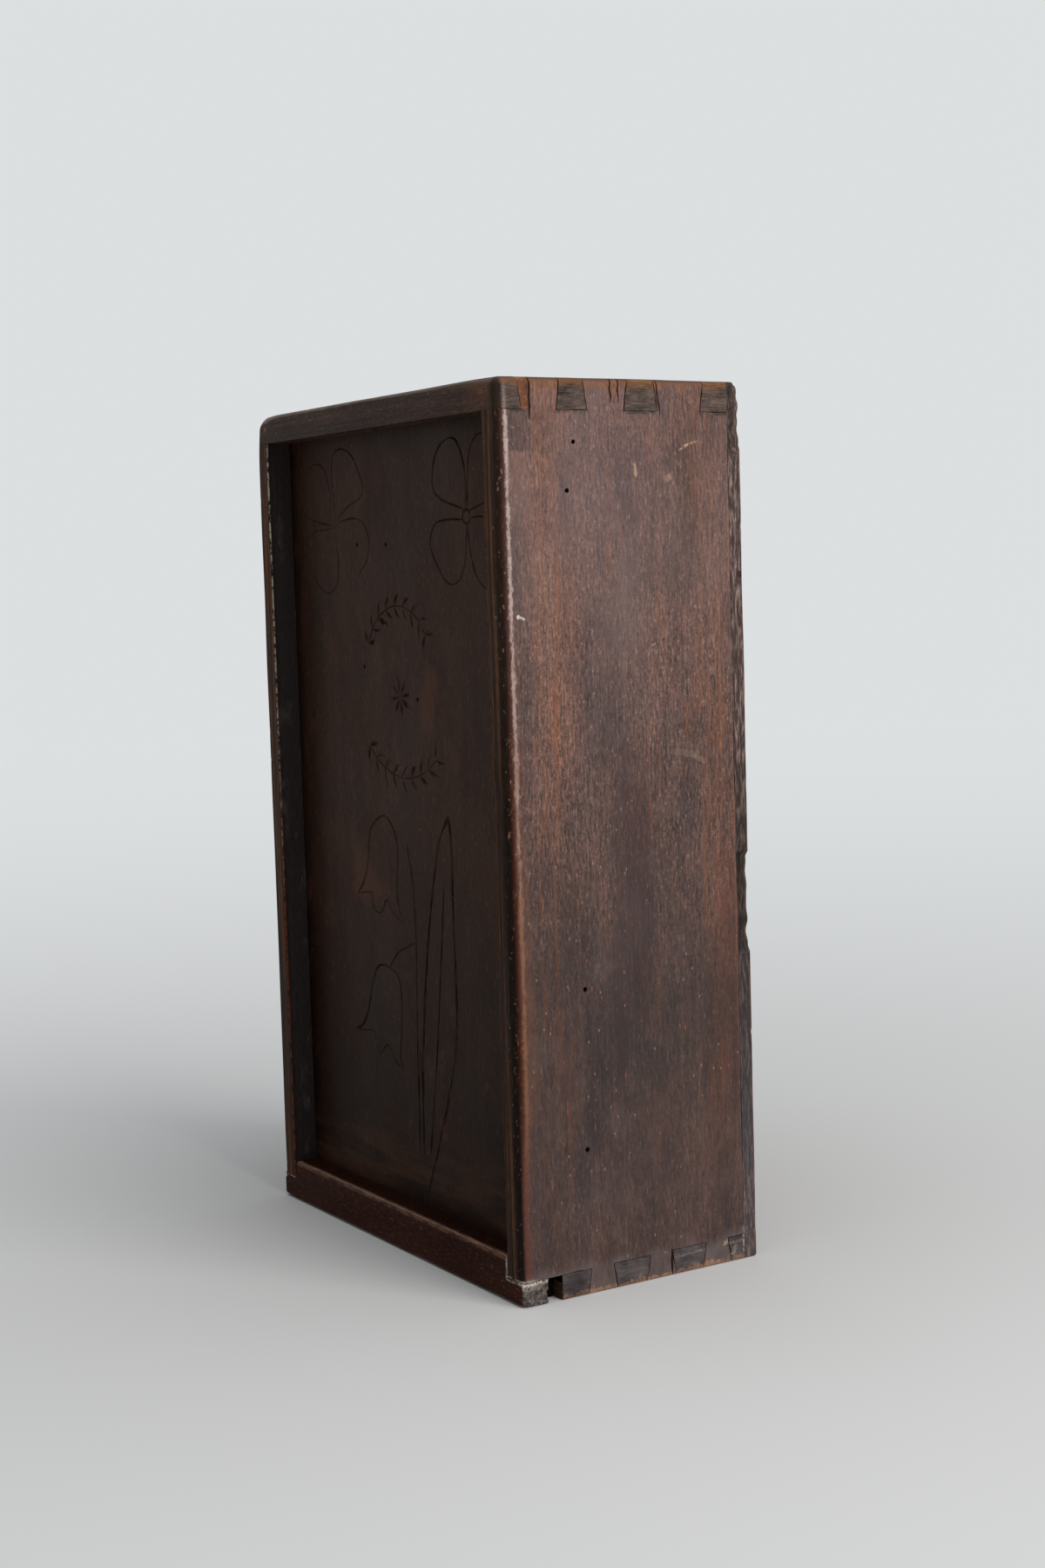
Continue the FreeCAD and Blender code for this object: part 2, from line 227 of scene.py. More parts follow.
def rub(piece, seed, hollow=0.12 * mm, arris=0.4 * mm):
    """Wears the outside of a board. Its outer faces sink by up to hollow in slow waves, and the
    box's outer corners are rounded by a radius that swells at knocks and at two soft corners. How
    far each point lay under the box's faces is noted first, in millimetres, as sunk."""
    points = points_of(piece)
    under = np.minimum(points - box_low, box_high - points).min(axis=1)
    note(piece, "sunk", np.clip(under / mm, 0, 20))
    depth = hollow * (0.5 + 0.5 * ripple(points, 40 * mm, seed))
    points = np.where(points > box_high - touching, points - depth[:, None], points)
    points = np.where(points < box_low + touching, points + depth[:, None], points)
    knocks = np.clip(ripple(points, 7 * mm, 77) - 0.8, 0, None)
    radius = 2.7 * mm + arris * ripple(points, 60 * mm, 5) + 0.8 * mm * knocks
    # softer at the top left front corner and the top right back one, and along the front uprights
    soft_corners = np.array([[box_low[0], front, box_high[2]], [box_high[0], box_high[1], box_high[2]]])
    away = np.linalg.norm(points[:, None] - soft_corners[None], axis=2)
    radius += np.array([3.4, 1.6]) @ np.exp(-((away / (12 * mm)) ** 2)).T * mm
    uprights = np.array([(x, y) for x in (box_low[0], box_high[0]) for y in (front, box_high[1])])
    away = np.linalg.norm(points[:, None, :2] - uprights[None], axis=2)
    radius += np.array([0.7, -1.3, 1.9, -1.3]) @ np.exp(-((away / (12 * mm)) ** 2)).T * mm
    # crisp at the foot, where the notches for the lid's strip are
    radius = np.minimum(radius, 1.3 * mm + 1.5 * np.clip(points[:, 2] - 9.8 * mm, 0, None))
    move_points(piece, draw_in(points, box_low, box_high, radius))


def shade_soft(piece, angle=32):
    """Smooth shading, broken where two faces meet at more than angle degrees."""
    piece.data.polygons.foreach_set("use_smooth", np.ones(len(piece.data.polygons), bool))
    piece.data.set_sharp_from_angle(angle=math.radians(angle))


# Dovetails as a pair of depths from the front at the baseline. A pin narrows by flare to its end.
top_pins = np.array([(0, 10.8), (26.1, 39.7), (56.6, 72.1), (92.4, 105.5)]) * mm
foot_pins = np.array([(18, 31.6), (42, 59.2), (69.9, 86.5), (97.5, 105.5)]) * mm
pin_flare = 1.7 * mm


def dovetail(spread, baseline, end, flares, reach):
    """The four corners of one tapered block in depth and height, carried on past the board's end
    by reach. flares says how far each side closes in by the end."""
    slope = (abs(end - baseline) + reach) / abs(end - baseline)
    tip = end + np.sign(end - baseline) * reach
    low, high = spread[0] + flares[0] * slope, spread[1] - flares[1] * slope
    return np.array([(spread[0], baseline), (spread[1], baseline), (high, tip), (low, tip)])


def saw_tool(outline, inside, surface, seed, gap=0.07 * mm, mouth=0.2 * mm):
    """A cutter for one dovetail: the outline in depth and height carried along x from inside to
    just past surface. Its sides wander like a hand saw's, and it opens by mouth at the surface."""
    steps = 14
    share = np.linspace(0, 1, steps, endpoint=False)[:, None]
    around = np.concatenate([a + (b - a) * share for a, b in zip(outline, np.roll(outline, -1, 0))])
    sideways = np.roll(around, -1, 0) - np.roll(around, 1, 0)
    outward = np.stack([sideways[:, 1], -sideways[:, 0]], axis=1)
    outward /= np.linalg.norm(outward, axis=1, keepdims=True)
    centre = around.mean(axis=0)
    outward *= np.sign(((around - centre) * outward).sum(axis=1, keepdims=True))
    wander = 0.11 * mm * ripple(np.pad(around, ((0, 0), (0, 1))), 5 * mm, seed)
    step = np.sign(surface - inside) * mm
    places = [inside, surface - 0.7 * step, surface - 0.15 * step, surface + 1.5 * step]
    growth = [gap, gap, gap + mouth, gap + 2 * mouth]
    stations = []
    for x, grow in zip(places, growth):
        moved = around + outward * (grow + wander)[:, None]
        stations.append(np.column_stack([np.full(len(moved), x), front + moved[:, 0], moved[:, 1]]))
    return bar("saw_tool", np.array(stations))


def pin_blocks(pins, baseline, end, reach=3 * mm):
    """The pins of one end board. The outermost two have one straight side each, and a pin at the
    board's edge is carried on past it by reach."""
    blocks = []
    for number, spread in enumerate(pins):
        first, last = number == 0, number == len(pins) - 1
        flares = (0 if first else pin_flare, 0 if last else pin_flare)
        wide = np.array(spread)
        wide[0] -= reach if first and spread[0] == 0 else 0
        wide[1] += reach if last else 0
        blocks.append(dovetail(wide, baseline, end, flares, reach))
    return blocks


def tail_blocks(pins, baseline, end, reach=3 * mm):
    """The tails between those pins, which widen towards the end as the pins narrow. They start
    reach short of the baseline, so that each takes the whole thickness of the end board."""
    shortfall = reach / abs(end - baseline)
    out = np.sign(end - baseline)
    blocks = []
    for before, after in zip(pins[:-1], pins[1:]):
        start = np.array([before[1], after[0]]) + pin_flare * shortfall * np.array([1, -1])
        flares = np.full(2, -pin_flare * (1 + shortfall))
        blocks.append(dovetail(start, baseline - out * reach, end, flares, reach))
    return blocks


def box_tool(low, high):
    """A plain square cutter between two corners."""
    low, high = np.array(low), np.array(high)
    square = np.array([(0, 0), (1, 0), (1, 1), (0, 1)])
    stations = [np.column_stack([np.full(4, k), square]) for k in (0, 1)]
    return bar("box_tool", low + np.array(stations) * (high - low))


def gouge(at, size, seed, rough=0.25):
    """A lump the shape of what a knock breaks off: a ball stretched to size, its skin uneven."""
    rings, around = 9, 14
    down = np.linspace(0.02, math.pi - 0.02, rings)[:, None]
    turn = np.linspace(0, 2 * math.pi, around, endpoint=False)[None, :]
    ball = np.stack(
        [np.sin(down) * np.cos(turn), np.sin(down) * np.sin(turn), np.cos(down) + 0 * turn], axis=-1
    )
    swell = 1 + rough * ripple(ball.reshape(-1, 3), 0.9, seed).reshape(rings, around, 1)
    return bar("gouge", np.array(at) + ball * swell * np.array(size))


def drill(at, radius, depth, toward, seed):
    """A slightly oval hole: a ring carried from outside the surface to its rounded bottom.
    toward is the axis number it is bored along and the sign of that direction."""
    axis, sign = toward
    turn = np.linspace(0, 2 * math.pi, 12, endpoint=False)
    draw = np.random.default_rng(seed)
    ring = radius * (1 + 0.18 * draw.normal(size=12).cumsum() / 4)
    stations = []
    for along, share in ((-1.0 * mm, 1.25), (0.25 * mm, 1.0), (depth - 0.6 * mm, 0.9), (depth, 0.4)):
        place = np.zeros((12, 3))
        place[:, axis] = along * sign
        place[:, (axis + 1) % 3] = np.cos(turn) * ring * share
        place[:, (axis + 2) % 3] = np.sin(turn) * ring * share
        stations.append(place + np.array(at))
    return bar("drill", np.array(stations))


def split(path, wide, depth, surface, toward, ends=0.7):
    """A crack in a board's face, following the grain: a thin wedge along path (depth from the
    front and height), wide in its middle and closing to nothing at its bottom. At its ends it
    closes as the sine of the way along to the power ends."""
    path = np.array(path)
    share = np.linspace(0, 1, len(path))
    half = wide / 2 * np.sin(math.pi * np.clip(share, 0.06, 0.94)) ** ends
    across = np.array([-1.3, -0.1, 0.1, 1.3]) * half[:, None]
    inward = np.array([-mm, depth, depth, -mm]) * toward + surface
    tall = np.repeat(path[:, 1:], 4, axis=1)
    outline = [np.broadcast_to(inward, across.shape), front + path[:, :1] + across, tall]
    return bar("split", np.stack(outline, axis=-1))


def seam(place, bottom, top, surface, toward, seed, wide=0.42 * mm):
    """The open line between two boards that have shrunk: a split as long as the joint."""
    tall = np.linspace(bottom - mm, top + mm, 90)
    wander = 0.12 * mm * ripple(np.column_stack([tall, 0 * tall, 0 * tall]), 30 * mm, seed)
    return split(np.column_stack([place + wander, tall]), wide, 1.6 * mm, surface, toward, ends=0.02)


def side_board(name, sign, seed, openings):
    """One side board, sign 1 for the right and -1 for the left. The outside is a finely ruled
    plank; groove, notch and sockets are cut out of it, then its own cracks, chips and holes."""
    inner, outer = side_low[0], side_high[0]
    across = rule(inner, outer, 1.2 * mm, 0.5 * mm, 4.5 * mm)
    deep = rule(side_low[1], side_high[1], 4 * mm, 0.5 * mm, 6 * mm)
    tall = rule(side_low[2], side_high[2], 1.25 * mm, 0.5 * mm, 4 * mm)
    across = np.sort(across * sign)
    board = plank(name, [across, deep, tall])
    room = mm
    groove_back = front + lip + groove_wide
    groove_top = top_low[2] + groove_deep

    def placed(low, high):
        """A square cutter for this side, given as for the right one."""
        spans = np.sort([low[0] * sign, high[0] * sign])
        return box_tool((spans[0], low[1], low[2]), (spans[1], high[1], high[2]))

    groove = placed((inner - room, front + lip, -room), (inner + groove_deep, groove_back, groove_top))
    notch_top = foot_high[2]
    notch = placed((inner - room, front - room, -room), (outer + room, groove_back, notch_top))
    tools = [groove, notch]
    rows = [(top_pins, top_low[2], top_high[2], 11), (foot_pins, foot_high[2], foot_low[2], 23)]
    for pins, baseline, end, first in rows:
        for number, block in enumerate(pin_blocks(pins, baseline, end)):
            tools.append(saw_tool(block, sign * (inner - room), sign * outer, first + number + seed))
    cut(board, tools + openings)
    rub(board, seed)
    points = points_of(board)
    stile_low, stile_high = np.array([inner, front, -1.0]), np.array([1.0, 1.0, 1.0])
    if sign < 0:
        stile_low[0], stile_high[0] = -1.0, -inner
    worn = 0.6 * mm + 0.3 * mm * ripple(points, 8 * mm, seed + 40)
    stile = points[:, 1] < front + 2 * mm
    move_points(board, np.where(stile[:, None], draw_in(points, stile_low, stile_high, worn), points))
    shade_soft(board)
    return board


def tint(code):
    """A colour from its six-figure paint code, as the light it sends back: the display's curve
    taken off each of the three figures."""
    parts = np.array([int(code[i : i + 2], 16) for i in (0, 2, 4)]) / 255
    light = np.where(parts <= 0.04045, parts / 12.92, ((parts + 0.055) / 1.055) ** 2.4)
    return (*[float(part) for part in light], 1.0)


class Measure:
    """A number or colour that changes over a piece, so that a finish reads as sums and products."""

    def __init__(self, finish, socket):
        self.finish, self.socket = finish, socket

    def __add__(self, other):
        return self.finish.work("ADD", self, other)

    def __sub__(self, other):
        return self.finish.work("SUBTRACT", self, other)

    def __mul__(self, other):
        return self.finish.work("MULTIPLY", self, other)

    __radd__, __rmul__ = __add__, __mul__

    def __rsub__(self, other):
        return self.finish.work("SUBTRACT", other, self)

    def size(self):
        """The measure without its sign."""
        return self.finish.work("ABSOLUTE", self)

    def rise(self, low, high):
        """0 below low and 1 above high, with a smooth climb between. It falls if low is above."""
        return self.finish.climb(self, low, high)

    def near(self, place, reach):
        """1 at place, falling smoothly to 0 at reach from it on both sides."""
        return (self - place).size().rise(reach, 0)


class Finish:
    """A piece's finish, built up in coats from where each point of the piece lies."""

    def __init__(self, name):
        self.material = bpy.data.materials.new(name)
        self.material.use_nodes = True
        self.tree = self.material.node_tree
        self.tree.nodes.clear()
        self.place = self.node("TexCoord").outputs["Object"]
        self.x, self.y, self.z = self.parts(self.place)
        self.facing = self.node("NewGeometry").outputs["Normal"]
        self.nx, self.ny, self.nz = self.parts(self.facing)

    def node(self, kind, **settings):
        """A new step of the finish, with its settings."""
        node = self.tree.nodes.new("ShaderNode" + kind)
        for name, setting in settings.items():
            setattr(node, name, setting)
        return node

    def feed(self, socket, term):
        """Joins a measure to a socket, or sets the socket to a plain number or colour."""
        if isinstance(term, Measure):
            self.tree.links.new(term.socket, socket)
        elif isinstance(term, bpy.types.NodeSocket):
            self.tree.links.new(term, socket)
        else:
            socket.default_value = term

    def noted(self, name):
        """The number kept for each point of the mesh under that name."""
        return Measure(self, self.node("Attribute", attribute_name=name).outputs["Fac"])

    def parts(self, vector):
        """The three numbers of a place or a colour."""
        split = self.node("SeparateXYZ")
        self.feed(split.inputs[0], vector)
        return [Measure(self, socket) for socket in split.outputs]

    def work(self, how, *terms):
        """One sum on measures and plain numbers."""
        node = self.node("Math", operation=how)
        for socket, term in zip(node.inputs, terms):
            self.feed(socket, term)
        return Measure(self, node.outputs[0])

    def larger(self, first, second):
        """The larger of the two at each point."""
        return self.work("MAXIMUM", first, second)

    def climb(self, term, low, high):
        """What rise says: three times the square of the share of the way, less twice its cube."""
        node = self.node("MapRange", interpolation_type="SMOOTHSTEP")
        falling = low > high
        settings = (term, high, low, 1, 0) if falling else (term, low, high, 0, 1)
        for socket, setting in zip(node.inputs, settings):
            self.feed(socket, setting)
        return Measure(self, node.outputs[0])

    def stretched(self, size, seed):
        """The place of a point measured in lengths of size, moved to a part of the pattern of its
        own by seed."""
        node = self.node("Mapping")
        self.feed(node.inputs["Vector"], self.place)
        node.inputs["Scale"].default_value = [1 / (length * mm) for length in size]
        node.inputs["Location"].default_value = [seed * 7.31, seed * 3.77, seed * 5.19]
        return node.outputs[0]

    def cloud(self, size, seed, detail=3, rough=0.55, warp=0.0):
        """Uneven tone from 0 to 1 in patches of size, three lengths in millimetres. Patches much
        longer one way than the others read as the grain of the wood."""
        node = self.node("TexNoise")
        self.feed(node.inputs["Vector"], self.stretched(size, seed))
        node.inputs["Scale"].default_value = 1
        node.inputs["Detail"].default_value = detail
        node.inputs["Roughness"].default_value = rough
        node.inputs["Distortion"].default_value = warp
        spread = self.node("MapRange")
        spread.inputs["From Min"].default_value = 0.28
        spread.inputs["From Max"].default_value = 0.72
        self.feed(spread.inputs["Value"], node.outputs[0])
        return Measure(self, spread.outputs[0])

    def mark(self, across, up, spot, lean, long, wide):
        """1 in one short straight mark: at spot on the axes across and up, long by wide, its long
        way turned lean degrees from across. All in the units of across and up."""
        cos, sin = math.cos(math.radians(lean)), math.sin(math.radians(lean))
        right, rise = across - spot[0], up - spot[1]
        along = (right * cos + rise * sin).size().rise(long / 2, long / 4)
        return along * (rise * cos - right * sin).size().rise(wide / 2, wide / 4)

    def specks(self, size, seed, share, grow=0.35):
        """Small spots: the middle of each cell of an uneven net, in the share of cells picked."""
        node = self.node("TexVoronoi")
        self.feed(node.inputs["Vector"], self.stretched(size, seed))
        node.inputs["Scale"].default_value = 1
        pick = self.parts(node.outputs["Color"])[0]
        spot = Measure(self, node.outputs["Distance"]).rise(grow, grow * 0.4)
        return spot * pick.rise(1 - share, 1 - share * 0.7)

    def coat(self, under, over, share):
        """One colour laid over another as far as share says."""
        node = self.node("Mix", data_type="RGBA")
        colours = [socket for socket in node.inputs if socket.type == "RGBA"]
        self.feed(node.inputs[0], share)
        for socket, colour in zip(colours, (under, over)):
            self.feed(socket, tint(colour) if isinstance(colour, str) else colour)
        return Measure(self, [socket for socket in node.outputs if socket.type == "RGBA"][0])

    def toned(self, colour, tone):
        """The colour made lighter or darker by a factor that changes over the piece."""
        node = self.node("VectorMath", operation="SCALE")
        self.feed(node.inputs[0], colour)
        self.feed(node.inputs["Scale"], tone)
        return Measure(self, node.outputs[0])

    def edge(self, low=0.03, high=0.3):
        """1 on rounded corners and in chips, where the surface faces between the main ways."""
        flat = self.larger(self.larger(self.nx.size(), self.ny.size()), self.nz.size())
        return (1 - flat).rise(low, high)

    def close_up(self, colour, roughness, relief, height, sheen=0.3):
        """Ends the finish with its colour, its roughness, a relief of height millimetres and how
        strongly it mirrors, 0.5 being a fresh varnish."""
        shader = self.node("BsdfPrincipled")
        self.feed(shader.inputs["Specular IOR Level"], sheen)
        out = self.node("OutputMaterial")
        bump = self.node("Bump")
        bump.inputs["Strength"].default_value = 1.0
        bump.inputs["Distance"].default_value = height * mm
        self.feed(bump.inputs["Height"], relief)
        self.feed(shader.inputs["Base Color"], colour)
        self.feed(shader.inputs["Roughness"], roughness)
        self.feed(shader.inputs["Normal"], bump.outputs[0])
        self.feed(out.inputs[0], shader.outputs[0])
        return self.material


def paint(piece, finish):
    """Gives the whole piece one finish."""
    piece.data.materials.clear()
    piece.data.materials.append(finish)


def old_wood(coat, along, seed, ground, dark, warm, warmth, bold=1.0):
    """Stained and handled wood, grain along the axis number given. Broad patches run from ground
    to dark, and warmth (a measure) says how far the wood's own warm colour shows through, as a
    blush and in lines. Fibres, fine grain and a sandy unevenness, bold times as strong, and pale
    flecks break up all of it. Gives back the colour and the relief."""

    def run(width, length):
        """A pattern's three lengths: length along the grain and width across it."""
        size = [width, width, width]
        size[along] = length
        return size

    patches = coat.cloud(run(20, 52), seed, detail=5, rough=0.65)
    broad = coat.cloud(run(6, 60), seed + 1, detail=3)
    narrow = coat.cloud(run(1.9, 34), seed + 2, detail=3, rough=0.7)
    fibres = coat.cloud(run(1.2, 10), seed + 3, detail=3, rough=0.75)
    grain = coat.cloud(run(0.95, 4), seed + 4, detail=2, rough=0.8)
    sand = coat.cloud((1.2, 1.2, 1.2), seed + 6, detail=2, rough=0.8)
    shade = (patches * 0.6 + broad * 0.25 + narrow * 0.15).rise(0.25, 0.8)
    colour = coat.coat(ground, dark, shade)
    blush = warmth * (narrow * 0.4 + broad * 0.3 + 0.3)
    lines = (narrow * 0.45 + fibres * 0.45 + grain * 0.1 + warmth * 0.6 - 0.75).rise(0.1, 0.55)
    colour = coat.coat(colour, warm, coat.larger(blush * 0.5, lines * 0.55))
    tone = (fibres - 0.5) * 0.5 + (grain - 0.5) * 1.2 + (sand - 0.5) * 0.7 + (narrow - 0.5) * 0.34
    colour = coat.toned(colour, coat.larger(tone * bold + 1.0, 0.3))
    pale = (grain * 0.6 + sand * 0.4).rise(0.62, 0.9) * (0.4 * bold)
    colour = coat.coat(colour, "a08a7b", pale)
    relief = fibres * 0.6 + grain * 0.4 + narrow * 0.3
    return colour, relief


right_face = side_high[0]
pin_end = top_pins[0, 1]
shim_low, shim_high = (np.array(corner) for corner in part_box("dovetail_shim"))
shim_spread = (pin_end, shim_high[1] - front)


def crack(spots, wide, depth):
    """A split in the right face through spots, given as depth from the front and height in mm."""
    return split(np.array(spots) * mm, wide * mm, depth * mm, right_face, -1)


def chip(deep, tall, size, seed):
    """A chip off the right face at that depth and height, with its half sizes, all in mm."""
    return gouge((right_face + 0.2 * mm, front + deep * mm, tall * mm), np.array(size) * mm, seed)


dent_place = (38.8, 48)
shim_socket = dovetail(shim_spread, top_low[2], top_high[2], (-pin_flare, 0), 3 * mm)
right_marks = [
    saw_tool(shim_socket, shim_low[0], right_face, 9, mouth=0.05 * mm),
    crack([(14.2, 334), (14.3, 337), (14.4, 339), (14.2, 342), (14.5, 346), (14.3, 352)], 1.1, 4),
    crack([(50.4, 340.5), (50.8, 343), (50.2, 346), (51, 352)], 0.9, 4),
    crack([(54.3, 341), (54, 345), (54.5, 352)], 0.8, 3),
    crack([(73.4, 336.5), (73, 340), (72.2, 344), (71.6, 352)], 0.8, 4),
    crack([(69.6, 11), (69.5, 6), (69.8, -2)], 1.1, 5),
    chip(52.2, 347.5, (0.9, 1.7, 5), 3),
    chip(7.1, 261.6, (1.0, 1.1, 0.9), 4),
    chip(*dent_place, (0.7, 0.6, 0.9), 6),
    seam(side_high[1] - front, box_low[2], box_high[2], right_face, -1, 17),
    gouge((93.6 * mm, front, 205.5 * mm), (0.55 * mm, 1.4 * mm, 5.2 * mm), 7),
]
worm_places = [(33.2, 326.0), (29.9, 307.9), (31.9, 118.9), (31.0, 56.8)]
for number, (deep, tall) in enumerate(worm_places):
    at = (right_face, front + deep * mm, tall * mm)
    right_marks.append(drill(at, 1.0 * mm, 6 * mm, (0, -1), 40 + number))

right_side = side_board("right_side_worn", 1, 3, right_marks)
left_seam = seam(side_high[1] - front, box_low[2], box_high[2], -right_face, 1, 18)
left_side = side_board("left_side_worn", -1, 8, [left_seam])
for piece, node in ((right_side, "right_side"), (left_side, "left_side")):
    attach(piece, "case")
    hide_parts(node)


# Where the box's faces lie, in the millimetres that the finishes count in: the sides' inner and
# outer faces out from the middle, the lip's rear and the back board's joint back from the front,
# and the end boards' shoulders and the box's top up from the foot.
inner_face, outer_face = float(side_low[0] / mm), float(side_high[0] / mm)
lip_rear, back_joint = lip / mm, float((side_high[1] - front) / mm)
foot_shoulder, top_shoulder = float(foot_high[2] / mm), float(top_low[2] / mm)
box_top = float(box_high[2] / mm)


def polish_and_highlight_line(coat, out, depth, place, seed):
    """The bright line that hands have polished along the round front corner, place millimetres
    from the front, its pale colour a painted highlight on the polish. It is whole along its
    middle and breaks into dots at its two edges."""
    dots = coat.cloud((1.3, 1.3, 2.4), seed + 32, detail=2, rough=0.8)
    worn = coat.cloud((8, 8, 22), seed + 33, detail=3)
    line = depth.near(place, 1.8) * 1.1 + dots * 0.95 + worn * 0.5 - 1.02
    line = line.rise(0.05, 0.85) * out.rise(outer_face - 5, outer_face - 4)
    return line * depth.near(place, 2.4).rise(0, 0.1)


def worn_rim(coat, colour, tall, fray, blotch):
    """The colour with the stain rubbed off along the foot's rim, in a ragged pale line."""
    rim = (tall - fray * 1.6 - blotch * 3).rise(0.1, -1.1)
    return coat.coat(colour, coat.coat("77503c", "b08a6e", fray), rim * 0.8)


class SideFinish(Finish):
    """The finish of one side board, sign 1 for the right and -1 for the left. depth counts the
    millimetres back from the front, tall up from the foot and out from the box's middle. reach
    and height are depth and tall with a slow wander, so that no coat ends on a straight line."""

    def __init__(self, sign, seed):
        super().__init__("side_wood_right" if sign > 0 else "side_wood_left")
        self.sign, self.seed = sign, seed
        self.depth = (self.y - front) * (1 / mm)
        self.tall = self.z * (1 / mm)
        self.out = self.x * (sign / mm)
        self.low_part = self.tall.rise(300, 110)
        self.above_foot = self.tall.rise(20, 90)
        self.sunk = self.noted("sunk")
        self.wander = self.cloud((14, 14, 60), seed + 20, detail=4) - 0.5
        self.reach = self.depth + self.wander * 12
        self.height = self.tall + self.wander * 40
        self.loose = self.cloud((13, 13, 70), seed + 29, detail=4, rough=0.6).rise(0.5, 0.95) * 0.4
        self.blotch = self.cloud((9, 9, 9), seed + 30, detail=4)
        self.fray = self.cloud((1.6, 1.6, 5), seed + 22, detail=3, rough=0.7)
        self.nicks = self.cloud((1.7, 1.7, 4), seed + 37, detail=3, rough=0.8)
        self.upper = (self.tall + self.blotch * 70).rise(165, 325)

    def rubbed_wood(self):
        """Stained wood, rubbed to its warm colour beside the front corner, up the back edge, round
        the top, in thin streaks between and in loose patches. Gives back the colour and relief."""
        reach, height, tall = self.reach, self.height, self.tall
        warmth = reach.near(21, 13) * height.rise(120, 190) * 0.95
        warmth = warmth + reach.near(96, 14) * height.rise(20, 90) * (1 - height.rise(262, 300) * 0.8) * 0.8
        warmth = warmth + reach.near(71, 20) * (tall + self.wander * 9).near(330, 11) * 0.8
        warmth = warmth + reach.near(76, 4) * height.near(205, 60) * 0.4
        warmth = warmth + reach.near(67, 3) * height.near(140, 50) * 0.45
        warmth = self.larger(warmth, self.loose) * (1 - self.low_part * 0.25)
        bold = tall.near(185, 110) * 0.4 + tall.rise(60, 200) * 0.3 + 0.75
        colour, relief = old_wood(self, 2, self.seed, "6c4e45", "473330", "8e5d43", warmth, bold)
        # long orange lines where the grain stands proud, crowded where the rubbing was hardest
        proud = self.cloud((1.7, 1.7, 75), self.seed + 35, detail=4, rough=0.65)
        crowded = reach.near(18, 14) * 0.3 + reach.near(66, 12) * 0.16 + reach.near(93, 15) * 0.26
        proud = (proud + crowded + self.loose * 0.2).rise(0.8, 1.0)
        colour = self.coat(colour, "93552f", proud * (self.above_foot * 0.3 + 0.08))
        worn_back = (reach + 4).near(104, 16) * height.near(118, 85)
        colour = self.coat(colour, "a3522b", worn_back * (proud * 0.3 + self.loose + 0.16))
        return colour, relief

    def stains(self, colour):
        """A red-brown stain low in the middle, grey blooms above it and paler grey tints high up, which
        are partly painted sheen, a duller tone low down and towards the back, the dirtied block by
        the top, and dust settled at the foot."""
        depth, tall, height, seed = self.depth, self.tall, self.height, self.seed
        stain = self.reach.near(56, 13) * height.rise(85, 110) * height.rise(235, 190)
        colour = self.coat(colour, "482621", stain * 0.58)
        # grey blooms and paler grey tints high up: partly the wax's grey bloom, partly painted sheen
        bloom = self.cloud((24, 24, 60), seed + 21, detail=5, rough=0.65).rise(0.4, 0.85)
        bloom = bloom * depth.near(56, 40) * (1 - self.low_part * 0.6)
        colour = self.coat(colour, "64524f", bloom * 0.45)
        colour = self.coat(colour, "84706c", height.near(280, 50) * 0.13)
        colour = self.coat(colour, "715d63", height.rise(275, 312) * depth.near(40, 45) * 0.22)
        dim = self.low_part * 0.45 + tall.near(100, 62) * 0.21
        dim = dim + depth.near(94, 30) * height.near(318, 50) * 0.26
        dim = dim + depth.near(94, 26) * height.near(205, 60) * 0.09
        dim = dim + depth.near(42, 40) * height.near(326, 30) * 0.1
        streaks = self.cloud((2.4, 2.4, 60), seed + 36, detail=4, rough=0.6) - 0.5
        clouded = self.cloud((11, 11, 20), seed + 39, detail=5, rough=0.7) - 0.5
        uneven = streaks * (self.low_part * 0.12 + 0.06) + clouded * self.low_part * 0.22
        colour = self.toned(colour, 1.0 - dim + uneven)
        ragged = tall + self.wander * 4
        smudge = depth.rise(27, 22) * ragged.rise(321.4, 322.6) * ragged.rise(341, 338)
        colour = self.coat(colour, self.toned(colour, 0.6), smudge * 0.6)
        wiped = depth.near(8, 8) * ragged.rise(280, 312) * ragged.rise(322.6, 321.4)
        colour = self.coat(colour, "9b7263", wiped * 0.28)
        dusty = self.cloud((30, 30, 12), seed + 34, detail=4).rise(0.6, 0.95) * 0.2
        dusty = dusty + (tall + self.wander * 8).rise(15, 8)
        return self.coat(colour, "6a5e5d", dusty * (self.blotch * 0.7 + 0.12))

    def worn_edges(self, colour):
        """The top edge, the back arris and the foot's rim, rubbed through the stain, and the
        gauge's line under the top pins, black with dirt."""
        depth, tall, fray, blotch = self.depth, self.tall, self.fray, self.blotch
        bare_top = (tall + fray * 1.6 + blotch * 4.4).rise(box_top - 1.8, box_top)
        bare_top = bare_top * (0.75 - depth.near(88, 8) * 0.4)
        colour = self.coat(colour, self.coat("4a2b1b", "915d39", fray), bare_top)
        colour = self.coat(colour, "36221a", (tall + fray).rise(box_top - 1.1, box_top + 0.1) * 0.6)
        back_arris = depth.near(back_joint - 0.4, 1.1) * tall.near(160, 85) * fray.rise(0.2, 0.6)
        colour = self.coat(colour, "9a5f43", back_arris * 0.4)
        colour = worn_rim(self, colour, tall, fray, blotch)
        scribed = (tall + fray * 0.9).near(top_shoulder - 0.1, 1.2)
        scribed = scribed * (blotch + fray * 0.5).rise(0.4, 0.8)
        pins = (top_pins / mm).tolist()
        at_pin = sum(depth.near((near + far) / 2, (far - near) / 2 + 3.5) for near, far in pins)
        return self.coat(colour, "150d0a", scribed * at_pin.rise(0.05, 0.3) * 0.85)

